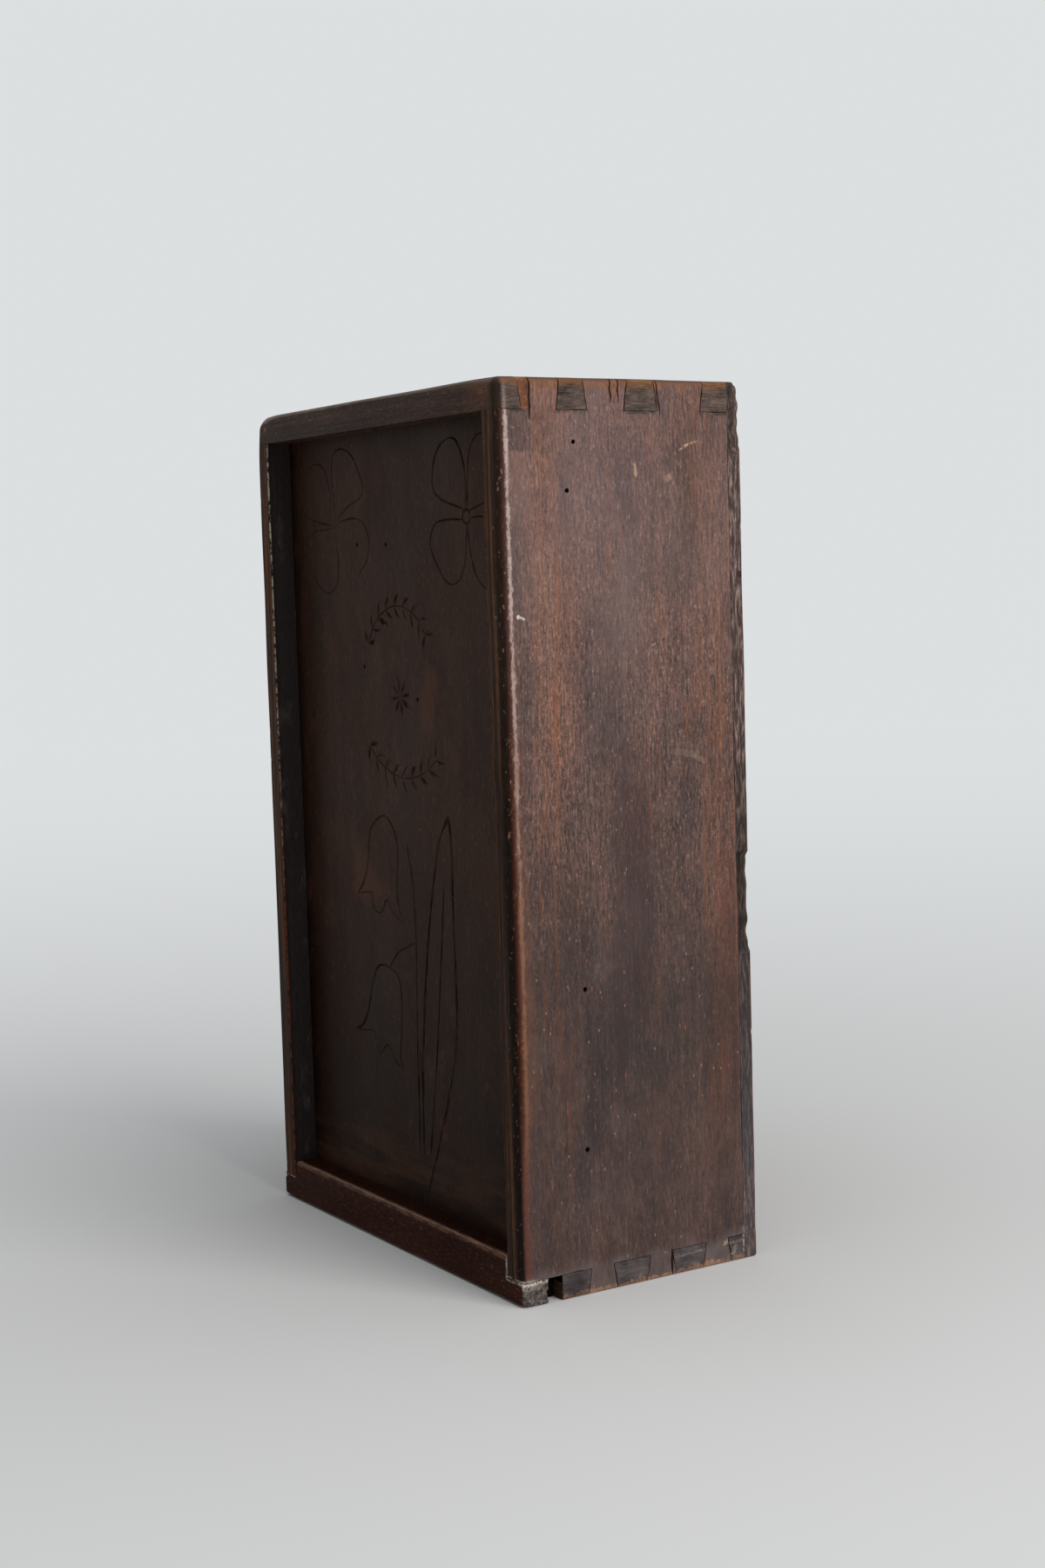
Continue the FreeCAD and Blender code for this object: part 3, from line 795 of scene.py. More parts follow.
    def round_corner(self, colour):
        """Orange wood low on the round front corner, dark where it turns to the front, and the
        bright line that hands have polished, painted paler as a highlight, pink-white high up and
        tan below. Gives back the colour and how far each point is in the polished, highlighted line
        and in the dark turn."""
        tall, out, upper = self.tall, self.out, self.upper
        by_foot = tall.rise(88, 36)
        turned = self.depth + by_foot * 1.4
        dots = self.cloud((1.3, 1.3, 2.4), self.seed + 32, detail=2, rough=0.8)
        rubbed = (turned + self.wander * 5).rise(12, 4) * (1 - upper)
        rubbed = rubbed * out.rise(outer_face - 5, outer_face - 4) * (1 - by_foot * 0.7)
        orange = self.coat("5b3321", "85543a", dots)
        colour = self.coat(colour, orange, rubbed * (0.2 + self.blotch * 0.4))
        turning = turned.rise(4.3, 1.8) * out.rise(inner_face + 0.5, inner_face + 1)
        dark_turn = self.toned(self.coat("3c1c10", "4a2f27", upper), self.nicks * 0.9 + 0.55)
        colour = self.coat(colour, dark_turn, turning)
        # the polished line, painted pale as a highlight, more strongly higher up
        bright = polish_and_highlight_line(self, out, turned, 4.3 - upper * 0.5, self.seed)
        highlight_shown = tall.rise(20, 160) * 0.35 + 0.45 + upper * 0.15
        polished = self.coat(self.coat("875434", "6c2f19", by_foot), "b59d95", upper)
        return self.coat(colour, polished, bright * highlight_shown), bright, turning

    def stile(self, colour):
        """The stile's face: brown with lines in its grain, black with grime along the corner,
        nicked, and pale white where it stands on the lid's strip. Gives back the colour and how
        far each point is on the face."""
        depth, tall, out, seed = self.depth, self.tall, self.out, self.seed
        face = depth.rise(2.2, 1.2)
        lines = self.cloud((1.6, 1.6, 90), seed + 23, detail=3).rise(0.4, 0.85)
        between = out.rise(inner_face + 0.5, inner_face + 2) * out.rise(outer_face - 2.5, outer_face - 5)
        wood = self.coat("31221b", "744a2c", lines * between * 0.8)
        grime_edge = self.cloud((2, 2, 6), seed + 24, detail=4, rough=0.7) * 1.6
        grime = (out + grime_edge - self.upper * 0.4).rise(outer_face - 4, outer_face - 1.6)
        wood = self.coat(wood, self.coat("1c130e", "2b1d16", self.upper), grime)
        wood = self.toned(wood, 1 - self.low_part * 0.26)
        dust = self.cloud((1.5, 1.5, 2.4), seed + 25, detail=3, rough=0.8).rise(0.8, 1.0)
        wood = self.coat(wood, "93796a", dust * out.rise(outer_face - 6, outer_face - 4) * 0.9)
        colour = self.coat(colour, self.toned(wood, 0.6 + self.fray * 0.8), face)
        nicked = self.nicks.rise(0.74, 0.98) * depth.rise(0.3, 1.2) * depth.rise(4.2, 2.6)
        nicked = nicked * out.rise(outer_face - 5, outer_face - 4)
        colour = self.coat(colour, self.coat("96694a", "b39a90", self.upper), nicked * 0.75)
        # pale white along the lip's foot where it stands on the strip
        pale_at_strip = (tall + self.fray * 0.8).rise(foot_shoulder + 1.4, foot_shoulder + 0.4)
        pale_at_strip = pale_at_strip * depth.rise(9, 2) * out.rise(inner_face, inner_face + 0.6)
        pale_at_strip = pale_at_strip * (self.fray + self.blotch * 0.6).rise(0.5, 0.95)
        return self.coat(colour, "cbbcb0", pale_at_strip * 0.8), face

    def inner_faces(self, colour):
        """The dirty faces that look at the lid, the arris they make with the stile, worn to a thin
        pale line, and bare wood inside the box. Gives back the colour and how far each point is on
        the dirty faces."""
        depth, out = self.depth, self.out
        inside = out.rise(inner_face + 0.4, inner_face + 0.15) * depth.rise(lip_rear + 3, lip_rear + 0.5)
        smear = self.cloud((9, 9, 16), self.seed + 31, detail=4).rise(0.62, 0.95)
        lip_face = self.coat("302a28", "5c5754", smear * 0.4)
        colour = self.coat(colour, self.toned(lip_face, 0.75 + self.fray * 0.5), inside)
        broken = self.cloud((2.4, 2.4, 3.2), self.seed + 26, detail=3, rough=0.8)
        arris = out.rise(inner_face + 0.75, inner_face + 0.4) * depth.rise(0.7, 0.4)
        arris = arris * broken.rise(0.35, 0.6)
        thin = self.coat("7d3d20", "c9b9a8" if self.sign < 0 else "84683c", self.upper)
        colour = self.coat(colour, thin, arris * 0.9)
        hidden = out.rise(inner_face + 0.4, inner_face + 0.2) * depth.rise(lip_rear + 3, lip_rear + 7)
        return self.coat(colour, self.toned(colour, 1.8), hidden), inside

    def broken_places(self, colour):
        """Raw wood in chips, painted shade, near black, deep down the cracks, and darker wood on the end
        grain.
        """
        sunk, outside = self.sunk, self.out.rise(inner_face + 0.6, inner_face + 1.4)
        raw = sunk.rise(0.08, 0.35) * sunk.rise(1.2, 0.5) * outside
        colour = self.coat(colour, self.coat("5d3825", "a8714b", self.fray), raw * 0.7)
        # painted shade: near black deep down the cracks and the seam
        colour = self.coat(colour, "1c120d", sunk.rise(0.9, 1.7) * outside)
        end_grain = self.nz.size().rise(0.7, 0.95)
        return self.coat(colour, self.toned(colour, 0.62), end_grain * 0.8)

    def scratches(self, colour):
        """The right side's own marks: pale scratches, dull spots, old paint, a dark knock, dust in
        the rear joint, a dent, and painted shade, near black, inside its worm holes."""
        depth, tall, fray, sunk = self.depth, self.tall, self.fray, self.sunk

        def mark(spot, lean, long, wide):
            """A mark on the outer face, at spot as depth and height."""
            return self.mark(depth, tall, spot, lean, long, wide)

        scratch = mark((87.2, 325.8), 15, 9, 0.9) + mark((84.2, 324.2), 24, 6, 0.7)
        scratch = scratch + mark((61.2, 315.6), 98, 6.5, 1.9) * 0.8 + mark((67.8, 249), 20, 3, 0.9) * 0.6
        dull = mark((76.4, 312.6), 20, 5, 3.6) * fray.rise(0.2, 0.6) * 0.3
        dull = dull + mark((82, 206.2), 170, 16, 3.4) * 0.1 + mark((88.5, 203.6), 154, 8, 2.6) * 0.12
        colour = self.coat(colour, "c9ab8c", scratch * fray.rise(0.1, 0.5) * 0.6 + dull)
        dark_knock = mark((96.2, 230), 84, 9, 1.8) * fray.rise(0.1, 0.6)
        colour = self.coat(colour, "241814", dark_knock * 0.7)
        spike = mark((8.6, 261.0), -24, 3.2, 1.2)
        paint_spot = mark((7.1, 261.7), 0, 5, 4) * sunk.rise(0.02, 0.2)
        colour = self.coat(colour, "ddd6c8", self.larger(paint_spot, spike * 0.6))
        joint_dust = mark((back_joint - 0.4, 8), 90, 13, 1.3) * fray.rise(0.15, 0.5)
        joint_dust = joint_dust + mark((96, 8.4), 20, 4, 2.4) * fray.rise(0.4, 0.7)
        colour = self.coat(colour, "b9987e", joint_dust * 0.8)
        dent = mark(dent_place, 0, 4, 4) * sunk.rise(0.02, 0.2)
        colour = self.coat(colour, "7c6a5e", dent * 0.7)
        # painted shade: near black inside the worm holes
        bored = sum(mark(spot, 0, 4.4, 4.4) for spot in worm_places)
        return self.coat(colour, "0c0806", bored * sunk.rise(0.04, 0.2))

    def small_chips(self, colour):
        """Short orange ticks along the grain and small pale chips all over."""
        ticks = self.cloud((1.7, 1.7, 9), self.seed + 38, detail=2, rough=0.7).rise(0.88, 1.06)
        ticks = ticks * self.depth.rise(6, 12) * self.above_foot
        colour = self.coat(colour, "a8623a", ticks * (0.3 + self.low_part * 0.4))
        chips = self.specks((2.6, 2.6, 4.2), self.seed + 27, 0.05, grow=0.2)
        return self.coat(colour, self.coat("a59c97", "b0907a", self.above_foot), chips * 0.5)

    def finished(self):
        """All the coats in the order they were laid and worn, ended as one finish."""
        colour, relief = self.rubbed_wood()
        colour = self.worn_edges(self.stains(colour))
        colour, bright, turning = self.round_corner(colour)
        colour, face = self.stile(colour)
        colour, inside = self.inner_faces(colour)
        colour = self.broken_places(colour)
        if self.sign > 0:
            colour = self.scratches(colour)
        colour = self.small_chips(colour)
        shine = self.cloud((22, 22, 60), self.seed + 28, detail=3)
        roughness = 0.52 + shine * 0.14 - bright * 0.16
        sheen = 0.36 - self.larger(turning, face) * 0.29 - inside * 0.24
        return self.close_up(colour, roughness, relief, 0.11, sheen)


paint(right_side, SideFinish(1, 1).finished())
paint(left_side, SideFinish(-1, 61).finished())

# ---------------------------------------------------------------------------------------------
# The end boards, glued between the sides. Their pins come out to the sides' faces, where their
# end grain has drunk the stain and gone grey-black. The top one's under face is grooved.


def end_board(name, low, high, pins, baseline, end, seed, tools):
    """One end board: a ruled plank as long as the box is wide, less the tails at both ends."""
    lines = [
        rule(low[0], high[0], 1.3 * mm, 0.5 * mm, 6 * mm),
        rule(low[1], high[1], 4 * mm, 0.5 * mm, 5 * mm),
        rule(low[2], high[2], 1.2 * mm, 0.5 * mm, 3.5 * mm),
    ]
    board = plank(name, lines)
    shoulder = side_low[0]
    tools = list(tools)
    for sign in (1, -1):
        for number, block in enumerate(tail_blocks(pins, baseline, end)):
            tools.append(
                saw_tool(block, sign * (shoulder - 0.1 * mm), sign * high[0], seed + number * 3 + sign,
                         mouth=0.12 * mm)
            )
    cut(board, tools)
    rub(board, seed + 20)
    shade_soft(board)
    return board


top_groove = box_tool(
    (-side_low[0], front + lip, top_low[2] - mm),
    (side_low[0], front + lip + groove_wide, top_low[2] + groove_deep),
)
top_end = end_board("top_end_worn", top_low, top_high, top_pins, top_low[2], top_high[2], 31, [top_groove])
foot_end = end_board("bottom_end_worn", foot_low, foot_high, foot_pins, foot_high[2], foot_low[2], 47, [])
for piece, node in ((top_end, "top_end"), (foot_end, "bottom_end")):
    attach(piece, "case")
    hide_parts(node)


# the height of the box's middle, in the finishes' millimetres
mid_height = box_top / 2


def rail_face(coat, colour, tall, rail, edge, fray, seed):
    """The top rail's front: painted darker than its top as shade, streaked along its grain, flecked
    with dust, brown in worn spots, and rubbed along its upper rim, its rounded arrises painted
    paler as a highlight."""
    right_part = coat.x * (1 / mm)
    # painted shade: the front darker than the board's top
    colour = coat.coat(colour, coat.toned(colour, 0.72), rail)
    streaks = coat.cloud((60, 1.5, 1.5), seed + 26, detail=4, rough=0.7)
    colour = coat.coat(colour, coat.toned(colour, streaks * 1.5 + 0.25), rail)
    motes = coat.cloud((1.8, 1.3, 1.3), seed + 27, detail=3, rough=0.8).rise(0.84, 1.0)
    colour = coat.coat(colour, "8a7466", motes * rail * 0.8)
    brown = right_part.near(90, 14) * (tall + fray * 5).rise(top_shoulder, box_top - 3) * rail
    colour = coat.coat(colour, "6e452d", brown * 0.4)
    spots = coat.mark(right_part, tall, (-92, 345.4), 80, 7, 3.4)
    spots = spots + coat.mark(right_part, tall, (92.5, 345.2), 4, 9, 3) * 0.7
    colour = coat.coat(colour, "8b6347", spots * fray.rise(0.25, 0.7) * rail * 0.8)
    # rubbed paler along the upper rim, and painted highlight on the rounded arrises
    rim = (tall + fray * 2.5).rise(box_top - 3.5, box_top + 0.5) * rail * right_part.rise(40, 95)
    rubbed = coat.larger((edge + fray * 0.5).rise(0.5, 0.95) * 0.4, rim * 0.6)
    return coat.coat(colour, "7a5d49", rubbed)


def pin_grain(coat, tall, rings, fray, seed):
    """End grain at the pins: rings run across, the stain sits deep, and rubbing has bared it along
    the top edge and the foot's rim."""
    blotch = coat.cloud((5, 7, 5), seed + 25, detail=5, rough=0.7)
    colour = coat.coat("322b29", "826e64", rings * 0.9 + blotch * 0.9 - 0.45)
    at_foot = coat.coat("413c3c", "71696a", rings * 0.8 + blotch * 0.9 - 0.4)
    colour = coat.coat(colour, at_foot, tall.rise(foot_shoulder + 10, foot_shoulder) * 0.85)
    pale = coat.coat("6f4428", "9a6a42", coat.cloud((3, 3, 1.2), seed + 24, detail=4))
    bare = (tall + rings * 1.4 + blotch * 1.6).rise(box_top - 2.4, box_top - 1)
    colour = coat.coat(colour, pale, bare * 0.7)
    return worn_rim(coat, colour, tall, fray, blotch)


def outside_of_end(name, seed):
    """The finish of an end board: grain along its length, and grey-black end grain on its pins.
    depth, tall and out count millimetres as on the side boards, out to both sides alike."""
    coat = Finish(name)
    depth = (coat.y - front) * (1 / mm)
    tall = coat.z * (1 / mm)
    out = coat.x.size() * (1 / mm)
    handled = coat.cloud((90, 20, 20), seed + 20, detail=3) * 0.35 + out.rise(60, outer_face - 1) * 0.15
    colour, relief = old_wood(coat, 0, seed, "4a352b", "2f221c", "78482a", handled, bold=0.8)
    edge = coat.edge(0.02, 0.2)
    fray = coat.cloud((5, 1.2, 1.2), seed + 22, detail=4, rough=0.7)
    colour = rail_face(coat, colour, tall, depth.rise(1.6, 0.7), edge, fray, seed)
    pins = out.rise(outer_face - 1.8, outer_face - 1) * (0 - coat.ny).rise(0.7, 0.5)
    rings = coat.cloud((4, 9, 0.6), seed + 23, detail=5, rough=0.75, warp=0.9)
    colour = coat.coat(colour, pin_grain(coat, tall, rings, fray, seed), pins)
    # the round front corner goes on over the first pin, dark, with the end of its polished line,
    # painted pale as a highlight
    turned = out.rise(outer_face - 5.8, outer_face - 3.6) * depth.rise(3.6, 1.6)
    colour = coat.coat(colour, "241712", turned * 0.85)
    at_top = tall.rise(300, 310) * tall.rise(box_top + 0.5, box_top - 7)
    # painted highlight: the end of the polished line
    bright = polish_and_highlight_line(coat, out, depth, 3.4, seed) * at_top
    colour = coat.coat(colour, "a8918a", bright * 0.6)
    damp = depth.near(24, 9) * tall.rise(foot_shoulder + 2, foot_shoulder - 2) * pins
    colour = coat.coat(colour, coat.toned(colour, 0.6), damp)
    # dust caught in scrapes on the right side's two rear foot pins
    dust = coat.mark(depth, tall, (79, 7.3), 3, 19, 1.4) * 0.4
    dust = dust + coat.mark(depth, tall, (101.5, 7.8), 2, 12, 1.6) * 0.5
    dust = dust + coat.mark(depth, tall, (100.4, 4.2), 60, 6, 2.6) * 0.8
    dust = dust + coat.mark(depth, tall, (back_joint - 0.4, 7), 90, 12, 1.2) * 1.1
    on_right = (coat.x * (1 / mm)).rise(outer_face - 2, outer_face - 1)
    colour = coat.coat(colour, "b3a092", dust * fray.rise(0.3, 0.75) * on_right)
    sunk = coat.noted("sunk")
    at_ends = (tall - mid_height).size().rise(mid_height - 15, mid_height - 8) * pins
    colour = coat.coat(colour, "1b1310", sunk.rise(0.7, 1.5) * at_ends)
    relief = relief * (1 - pins) + rings * pins * 2.4
    roughness = 0.52 + rings * pins * 0.2 - edge * 0.14
    return coat.close_up(colour, roughness, relief, 0.12, 0.09)


paint(top_end, outside_of_end("end_wood_top", 101))
paint(foot_end, outside_of_end("end_wood_foot", 141))

# ---------------------------------------------------------------------------------------------
# The shim. A sliver of unstained softwood, knocked in beside the top front pin of the right side
# to take up a gap in that joint. It widens upwards, and handling has rubbed its outer end.


def shim_piece():
    """A small plank whose depth, at each height, runs between the shim's two slanting sides."""
    share = rule(0, 1, 0.12)
    across = rule(shim_low[0], shim_high[0], mm, 0.3 * mm, 1.8 * mm)
    piece = plank("dovetail_shim_worn", [across, share, rule(shim_low[2], shim_high[2], 0.6 * mm)])
    points = points_of(piece)
    rise = (points[:, 2] - shim_low[2]) / (shim_high[2] - shim_low[2])
    near_side = shim_spread[0] - pin_flare * rise
    points[:, 1] = front + near_side + (shim_spread[1] - near_side) * points[:, 1]
    rough = 0.25 * mm * ripple(points, 4 * mm, 12) ** 2
    points[:, 0] -= np.where(points[:, 0] > shim_high[0] - touching, rough, 0)
    move_points(piece, points)
    rub(piece, 13)
    shade_soft(piece)
    return piece


shim = shim_piece()
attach(shim, "case")
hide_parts("dovetail_shim")


def shim_finish():
    """Bare orange wood with its grain upright, gone brown in the pores."""
    coat = Finish("shim_wood_bare")
    wear = coat.cloud((2, 2, 6), 171) * 0.8
    colour, relief = old_wood(coat, 2, 170, "6a3f2a", "43281c", "8f5735", wear)
    bare_top = (coat.z * (1 / mm) + wear * 2).rise(box_top - 1.6, box_top + 0.6)
    colour = coat.coat(colour, "97653d", bare_top * 0.7)
    return coat.close_up(colour, 0.6, relief, 0.14, 0.2)


paint(shim, shim_finish())

# ---------------------------------------------------------------------------------------------
# The back board. One softwood board planted on the frame and nailed, left as the plane and the
# saw left it. Damp and knocks have darkened and broken its edges, most of all the right one.


def splinter(low, high, deep, sign, seed):
    """A long cutter for a strip broken off the back board's edge, sign 1 for the right one. Its
    depth into the edge swells from nothing at low to deep and wanders until it ends at high."""
    tall = np.linspace(low, high, 46)
    share = (tall - low) / (high - low)
    wander = 1 + 0.35 * ripple(np.column_stack([tall, 0 * tall, 0 * tall]), 6 * mm, seed)
    body = deep * wander * np.clip(np.minimum(share, 1 - share) * 14, 0.02, 1)
    edge = back_high[0] * sign
    inner, outer = edge - sign * body, np.full_like(body, edge + sign * 3 * mm)
    near, far = np.full_like(body, back_low[1] - 0.5 * mm), np.full_like(body, back_high[1] + 2 * mm)
    lean = 0.5 * body
    section = [(inner + sign * lean, near), (outer, near), (outer, far), (inner, far)]
    outlines = np.stack([np.column_stack([x, y, tall]) for x, y in section], axis=1)
    return bar("splinter", outlines)


nail_low, nail_high = (np.array(corner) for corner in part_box("back_nails"))
nail_head, nail_head_thick, nail_shank, nail_tip = 4 * mm, 0.9 * mm, 2 * mm, 1 * mm
nail_up_side = nail_high[0] - nail_head / 2
nail_in_end = 52 * mm
nail_from_end = 30 * mm
nail_rows = np.linspace(nail_from_end, back_high[2] - nail_from_end, 4)
end_rows = [(foot_low[2] + foot_high[2]) / 2, (top_low[2] + top_high[2]) / 2]
nail_places = [(sign * nail_up_side, tall) for sign in (-1, 1) for tall in nail_rows]
nail_places += [(sign * nail_in_end, tall) for tall in end_rows for sign in (-1, 1)]


def nail_solid(place, face, sizes, seed, grow=0.0, top=0.0):
    """A wrought nail, or its hole if grow isn't 0, as a stack of squares along y: from the middle
    of the hammered head at face out to the head's rim, in to the shank, and down to the tip.
    sizes are the head's width and thickness, the shank's and the tip's width, and the length."""
    head, thick, shank, tip, long = sizes
    draw = np.random.default_rng(seed)
    levels = np.array([-top, 0.12 * thick, 0.5 * thick, thick, 1.15 * thick, 2.5 * thick, long - mm, long])
    widths = np.array([0.3, 0.62, 1, 0.96, 1.15, 1, 1.05, 0.7]) * ([head] * 4 + [shank] * 2 + [tip] * 2)
    if grow:
        widths = np.array([head, head, head, head * 0.98, shank, shank, tip, tip]) + 2 * grow
    corner = np.array([(-1, -1), (0, -1), (1, -1), (1, 0), (1, 1), (0, 1), (-1, 1), (-1, 0)]) / 2
    pull = np.where(np.abs(corner).sum(axis=1) > 0.9, 0.9, 1.0)[:, None]
    struck = 1 + 0.06 * draw.normal(size=(8, 1))
    turn = draw.uniform(-0.16, 0.16)
    spin = np.array([[math.cos(turn), -math.sin(turn)], [math.sin(turn), math.cos(turn)]])
    square = corner * pull * struck @ spin
    flat = square[None] * widths[:, None, None] + np.array(place)
    outlines = np.empty((len(levels), 8, 3))
    outlines[..., 0], outlines[..., 2] = flat[..., 0], flat[..., 1]
    outlines[..., 1] = (face - levels)[:, None]
    return outlines


nail_sizes = (nail_head, nail_head_thick, nail_shank, nail_tip, nail_high[1] - nail_low[1])
nail_face = nail_high[1]


def back_piece():
    """A ruled plank less the nails' holes, the splinters and the knocks. Its back then sinks by the
    plane's tracks: in each, 1 less the sine of the way across, so a row of shallow scoops."""
    lines = [
        rule(back_low[0], back_high[0], 2.5 * mm, 0.5 * mm, 4 * mm),
        rule(back_low[1], back_high[1], 1.2 * mm, 0.45 * mm, 2.7 * mm),
        rule(back_low[2], back_high[2], 2.5 * mm, 0.5 * mm, 4 * mm),
    ]
    board = plank("back_board_worn", lines)
    edge = back_high[0]
    tools = [
        bar("nail_hole", nail_solid(place, nail_face, nail_sizes, 200 + n, 0.12 * mm, 2 * mm))
        for n, place in enumerate(nail_places)
    ]
    tools += [
        splinter(323 * mm, 353 * mm, 2.5 * mm, 1, 5),
        splinter(124 * mm, 166 * mm, 2.4 * mm, 1, 6),
        splinter(-2 * mm, 12 * mm, 0.8 * mm, 1, 7),
        splinter(205 * mm, 240 * mm, 0.9 * mm, -1, 8),
        splinter(-3 * mm, 46 * mm, 1.5 * mm, -1, 9),
        gouge((edge + 0.3 * mm, back_high[1] - 2 * mm, 275 * mm), (1.3 * mm, 1.5 * mm, 1.6 * mm), 14),
        gouge((edge + 0.2 * mm, back_high[1], 92 * mm), (1.4 * mm, 1.2 * mm, 3 * mm), 15),
        gouge((edge - 60 * mm, back_high[1] + 0.2 * mm, -0.2 * mm), (6 * mm, 1.5 * mm, 1.6 * mm), 16),
        gouge((-edge, back_high[1] + 0.2 * mm, 300 * mm), (1.2 * mm, 1.4 * mm, 4 * mm), 17),
    ]
    cut(board, tools)
    points = points_of(board)
    # the plane's shallow tracks up the board, each about 24 mm wide
    track = points[:, 0] + 1.5 * mm * ripple(points * [0, 0, 1], 160 * mm, 19)
    scoop = 0.16 * mm * (1 - np.abs(np.sin(math.pi * track / (24 * mm))))
    scoop += 0.07 * mm * (1 + ripple(points, 60 * mm, 20))
    points[:, 1] -= np.where(points[:, 1] > back_high[1] - touching, np.clip(scoop, 0, None), 0)
    move_points(board, points)
    rub(board, 21)
    shade_soft(board)
    return board


back_board = back_piece()
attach(back_board, "case")
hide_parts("back_board")


def back_finish():
    """Weathered softwood: wide growth bands up the board, paler than the sides, rust bleeding
    round the nails, and edges that have gone grey-black with bare flecks."""
    coat = Finish("back_wood_worn")
    tall, out = coat.z * (1 / mm), coat.x * (1 / mm)
    back = (coat.y - back_low[1]) * (1 / mm)
    thick = float((back_high[1] - back_low[1]) / mm)
    rubbed = coat.cloud((40, 40, 150), 181, detail=3) * 0.6
    colour, relief = old_wood(coat, 2, 180, "75594a", "4a3a31", "936a48", rubbed)
    bands = coat.cloud((7, 60, 420), 182, detail=2, rough=0.5, warp=0.9)
    late = coat.work("PINGPONG", bands * 5, 0.5) * 2
    bands = late.rise(0.1, 0.95) * 0.6 + coat.cloud((2, 8, 200), 186, detail=3) * 0.4
    colour = coat.coat(colour, coat.coat("31251f", "8a6b50", bands), 0.42)
    relief = relief + bands
    stains = coat.cloud((60, 60, 60), 183, detail=5, rough=0.6).rise(0.55, 0.85)
    colour = coat.coat(colour, "2c2320", stains * 0.55)
    near_end = (tall - mid_height).size().rise(mid_height - 15, mid_height - 1)
    rim = coat.larger(out.size().rise(outer_face - 16, outer_face - 1), near_end)
    colour = coat.coat(colour, "2d2623", rim * 0.6)
    # rust: the nails stand at even steps up both sides, so one distance does for each row
    first_nail, step = float(nail_rows[0] / mm), float((nail_rows[1] - nail_rows[0]) / mm)
    up_side = coat.work("PINGPONG", tall - first_nail, step / 2)
    aside = out.size() - float(nail_up_side / mm)
    ring = coat.work("SQRT", aside * aside + up_side * up_side)
    in_end = out.size() - float(nail_in_end / mm)
    low_row, high_row = (float(row / mm) for row in end_rows)
    from_row = (tall - (low_row + high_row) / 2).size() - (high_row - low_row) / 2
    end_ring = coat.work("SQRT", in_end * in_end + from_row * from_row)
    blur = coat.cloud((3, 3, 9), 184, detail=4) * 3
    rust = coat.larger((ring + blur).rise(6.5, 2.2), (end_ring + blur).rise(6.5, 2.2))
    colour = coat.coat(colour, "2a1510", rust * back.rise(thick - 3.5, thick - 1.5) * 0.8)
    # the broken right and left edges
    side_face = back.rise(thick - 0.2, thick - 0.6) * out.size().rise(outer_face - 3, outer_face - 1.5)
    flaked = coat.cloud((1.4, 1.0, 7), 185, detail=5, rough=0.72)
    edge_wood = coat.coat("3a2d2b", "a78c83", flaked.rise(0.35, 1.0))
    low_edge = tall.rise(245, 150) * tall.rise(20, 60)
    edge_tone = 1.0 - low_edge * 0.6 - tall.rise(60, 20) * 0.16 - tall.rise(316, 328) * 0.08
    colour = coat.coat(colour, coat.toned(edge_wood, edge_tone), side_face * 0.9)
    chewed = (tall + flaked * 7).near(148, 25).rise(0, 0.35) * side_face
    colour = coat.coat(colour, coat.toned(colour, 0.6), chewed)
    sunk = coat.noted("sunk")
    raw = sunk.rise(0.2, 0.6) * sunk.rise(2.4, 1.4)
    raw_wood = coat.toned(coat.coat("1b1412", "6f5c50", flaked.rise(0.3, 1.0)), edge_tone + 0.1)
    colour = coat.coat(colour, raw_wood, raw * 0.9)
    colour = coat.coat(colour, "55565c", side_face * tall.rise(150, 40) * 0.3)
    warm_rim = back.rise(thick - 1.2, thick - 0.2) * out.size().rise(outer_face - 1.7, outer_face - 0.5)
    colour = coat.coat(colour, "8a4a2c", warm_rim * flaked.rise(0.25, 0.6) * 0.75)
    end_grain = coat.nz.size().rise(0.7, 0.95)
    colour = coat.coat(colour, coat.toned(colour, 0.6), end_grain * 0.8)
    roughness = 0.66 + bands * 0.12
    return coat.close_up(colour, roughness, relief, 0.15, 0.22)


paint(back_board, back_finish())

# ---------------------------------------------------------------------------------------------
# The back's nails: twelve hand-made cut nails, iron gone brown with rust, each hammered head
# bruised by the blows that set it just under the wood.

back_nails = bar(
    "back_nails_forged",
    *[nail_solid(place, nail_face, nail_sizes, 200 + n) for n, place in enumerate(nail_places)],
)
shade_soft(back_nails, 24)
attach(back_nails, "case")
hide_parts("back_nails")


def iron_finish(name, seed):
    """Black iron scale broken by brown and orange rust, rough where it rusts."""
    coat = Finish(name)
    scale = coat.cloud((1.6, 1.6, 1.6), seed, detail=5, rough=0.7)
    colour = coat.coat("1d1a19", "4a2a1c", scale.rise(0.3, 0.7))
    bloom = coat.cloud((0.7, 0.7, 0.7), seed + 1, detail=4, rough=0.7).rise(0.55, 0.85)
    colour = coat.coat(colour, "7a4526", bloom * 0.7)
    return coat.close_up(colour, 0.5 + scale * 0.35, scale + bloom * 0.5, 0.16)


paint(back_nails, iron_finish("nail_iron_rusted", 190))

# ---------------------------------------------------------------------------------------------
# The lid board: one thin panel, planed smooth, stained near black and polished by hands. A knife
# has cut V lines into its face: two four-petalled flowers at the top, two bell flowers on a stem
# with one long leaf below, and between them a small ring of leaf sprigs round a rosette.

lid_low, lid_high = (np.array(corner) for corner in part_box("lid_board"))
lid_cut_wide, lid_cut_deep = 1.25 * mm, 0.62 * mm


